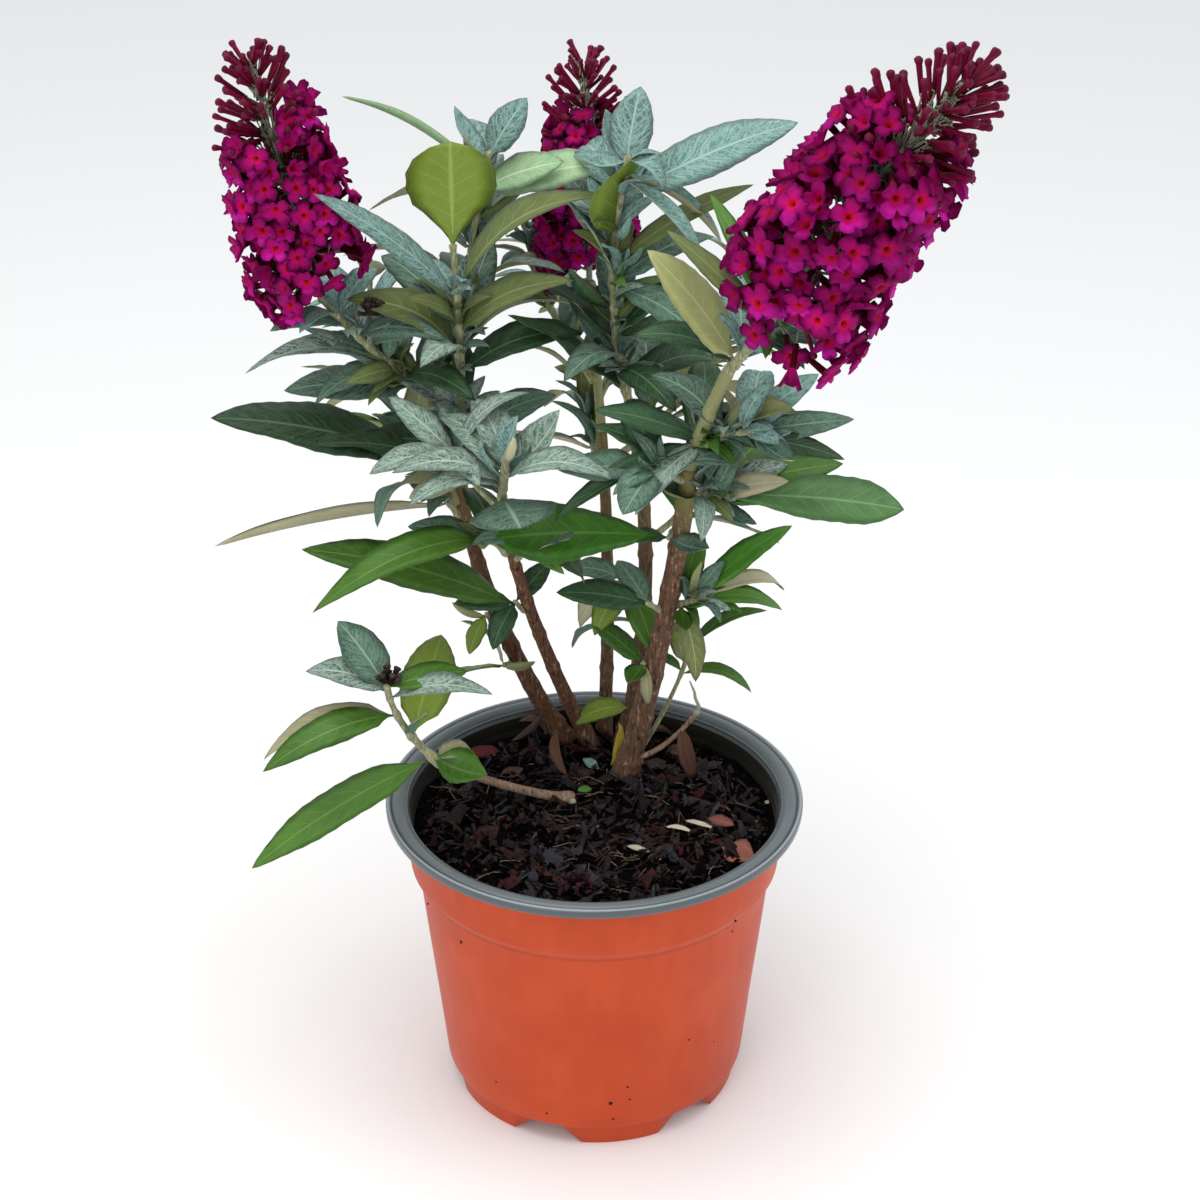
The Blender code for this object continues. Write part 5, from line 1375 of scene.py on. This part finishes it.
oddments = {
    "leaves": [
        ((36, 26, 150), (41, 25, 124), 7, "folded", "dead", 60),
        ((-22, 50, 141), (-35, 48, 128), 5, "cupped", "dead", 30),
        ((10, 44, 140), (6, 41, 116), 9.5, "cupped", "yellow", 70),
        ((15, 54, 141), (-9, 50, 137), 11, "arched", "lime", -45),
        ((-1, 20, 122), (-7, 17, 123), 4, "flat", "green", 0),
        ((2, 36, 122), (-5, 39, 125), 5, "cupped", "silver", 0),
        ((-16, 42, 138), (-12, 30, 122), 6, "folded", "dead", 50),
        ((-49, -19, 122), (-38, -11, 122.5), 8, "cupped", "red", 0),
        ((51, -26, 123), (64, -35, 122.5), 13, "cupped", "pink", 0),
        ((46, -4, 122.5), (57, -8, 122), 6, "flat", "rust", 0),
        ((-20, -27, 122.5), (-13, -38, 122), 8, "flat", "plum", 0),
        ((-56, 46, 122), (-40, 52, 122), 6, "wavy", "red", 10),
        ((29, -11, 122.8), (40, -14, 122.8), 2.2, "arched", "chaff", 0),
        ((37, -6, 122.8), (48, -11, 122.8), 2.2, "wavy", "chaff", 0),
        ((13, -25, 122.8), (22, -29, 122.8), 2.8, "flat", "chaff", 0),
        ((-20, 60, 124), (-30, 64, 132), 6, "curled", "dead", 0),
        ((20, 60, 122), (34, 66, 124), 7, "curled", "dead", 0),
        ((-40, 30, 122), (-30, 36, 122), 6, "cupped", "dead", 0),
        ((30, 50, 122), (42, 44, 122), 7, "curled", "dead", 0),
    ],
    # dried heads: centre, heading and lift, length of the parts, how many
    "heads": [((-85, 18, 334), (80, 60), 7, 16), ((-78, -41, 206), (100, 75), 8, 18)],
    "cone": ((-7, -55, 122), 13, 60),
    "knobs": [((-9, 10, 121.6), 1.7), ((42, 24, 156.3), 1.5)],
    # points and radii of the end of the dry twig
    "dryTip": ([(42, 24, 155), (43, 24, 159), (41.4, 24, 163), (41, 24, 166), (39, 24, 171)],
               [0.9, 0.8, 0.7, 0.6, 0.3]),
}


def makeOddments(blades, petals):
    rng = random.Random(31)
    leaves, heads = Bundle(), Bundle()
    for base, tip, width, habit, finish, roll in oddments["leaves"]:
        base, span = np.array(base, float), np.subtract(tip, base)
        along = unit(span)
        side, length = bladeSide(along, base, roll), float(np.linalg.norm(span))
        addLeaf(leaves, base, along, side, length, width, habit, leafSlots(finish), rng)
    leaves.build("fallen_leaves", blades, "leaf_green", ["soil"])

    def addScale(spread, size, squash, centre, slot):
        points, faces, uvs = budShape(size * rng.uniform(0.6, 1.1), rng)
        axes = frameFrom(spread, rng.uniform(0, 90))
        heads.add(placed(points * np.array(squash), axes, centre), faces, slot, uvs, rng.random())

    for centre, (heading, lift), size, count in oddments["heads"]:
        for _ in range(count):
            addScale(direction(heading, lift) + scatter(rng, 0.9), size, (0.8, 0.8, 1), centre, driedSlot)
    centre, size, count = oddments["cone"]
    for _ in range(count):
        spread = unit((rng.uniform(-1, 1), rng.uniform(-0.7, 0.7), rng.uniform(0.05, 0.8)))
        addScale(spread, size / 2, (0.7, 0.4, 1), centre + spread * 1.5, coneSlot)
    for centre, size in oddments["knobs"]:
        heads.addTube([np.array(centre) + up * z * size for z in (-0.95, -0.6, 0, 0.6, 0.95)],
                      [size * k for k in (0.3, 0.8, 1, 0.8, 0.3)], 8, stalkSlot)
    heads.addTube(*oddments["dryTip"], 7, stalkSlot)
    heads.build("dried_heads", petals, "green_bark")
    print("oddments")


def growLimbs():
    # Every limb, shoot and spike axis, from the tables above.
    limbs = {name: Limb(*spec, flare=footFlare) for name, spec in canes.items()}
    for name, (parent, place, heading, *spec) in boughs.items():
        limbs[name] = Limb(springFrom(limbs[parent], place, heading), *spec)
    young = {**shoots, **backShoots, **{name: spec[1:] for name, spec in sideTwigs.items()}}
    for name, (parent, place, heading, tip, bow, radius, *_) in young.items():
        foot = springFrom(limbs[parent], place, heading)
        limbs[name] = Limb(foot, tip, bow, radius, radius * youngStem["taper"])
    for name, (below, tip, bow, *_) in spikes.items():
        limbs[name] = Limb(springFrom(limbs[below], 1.0, 0), tip, bow, *flower["axisRadii"])
    return limbs


makeStudio()
limbs = growLimbs()
makeLimbs(limbs)
blades = leafMaterials()
makeFoliage(limbs, blades)
petals = flowerMaterials()
for spike in spikes:
    makeSpike(spike, limbs[spike], petals)
makePot()
makeSoil()
makeOddments(blades, petals)
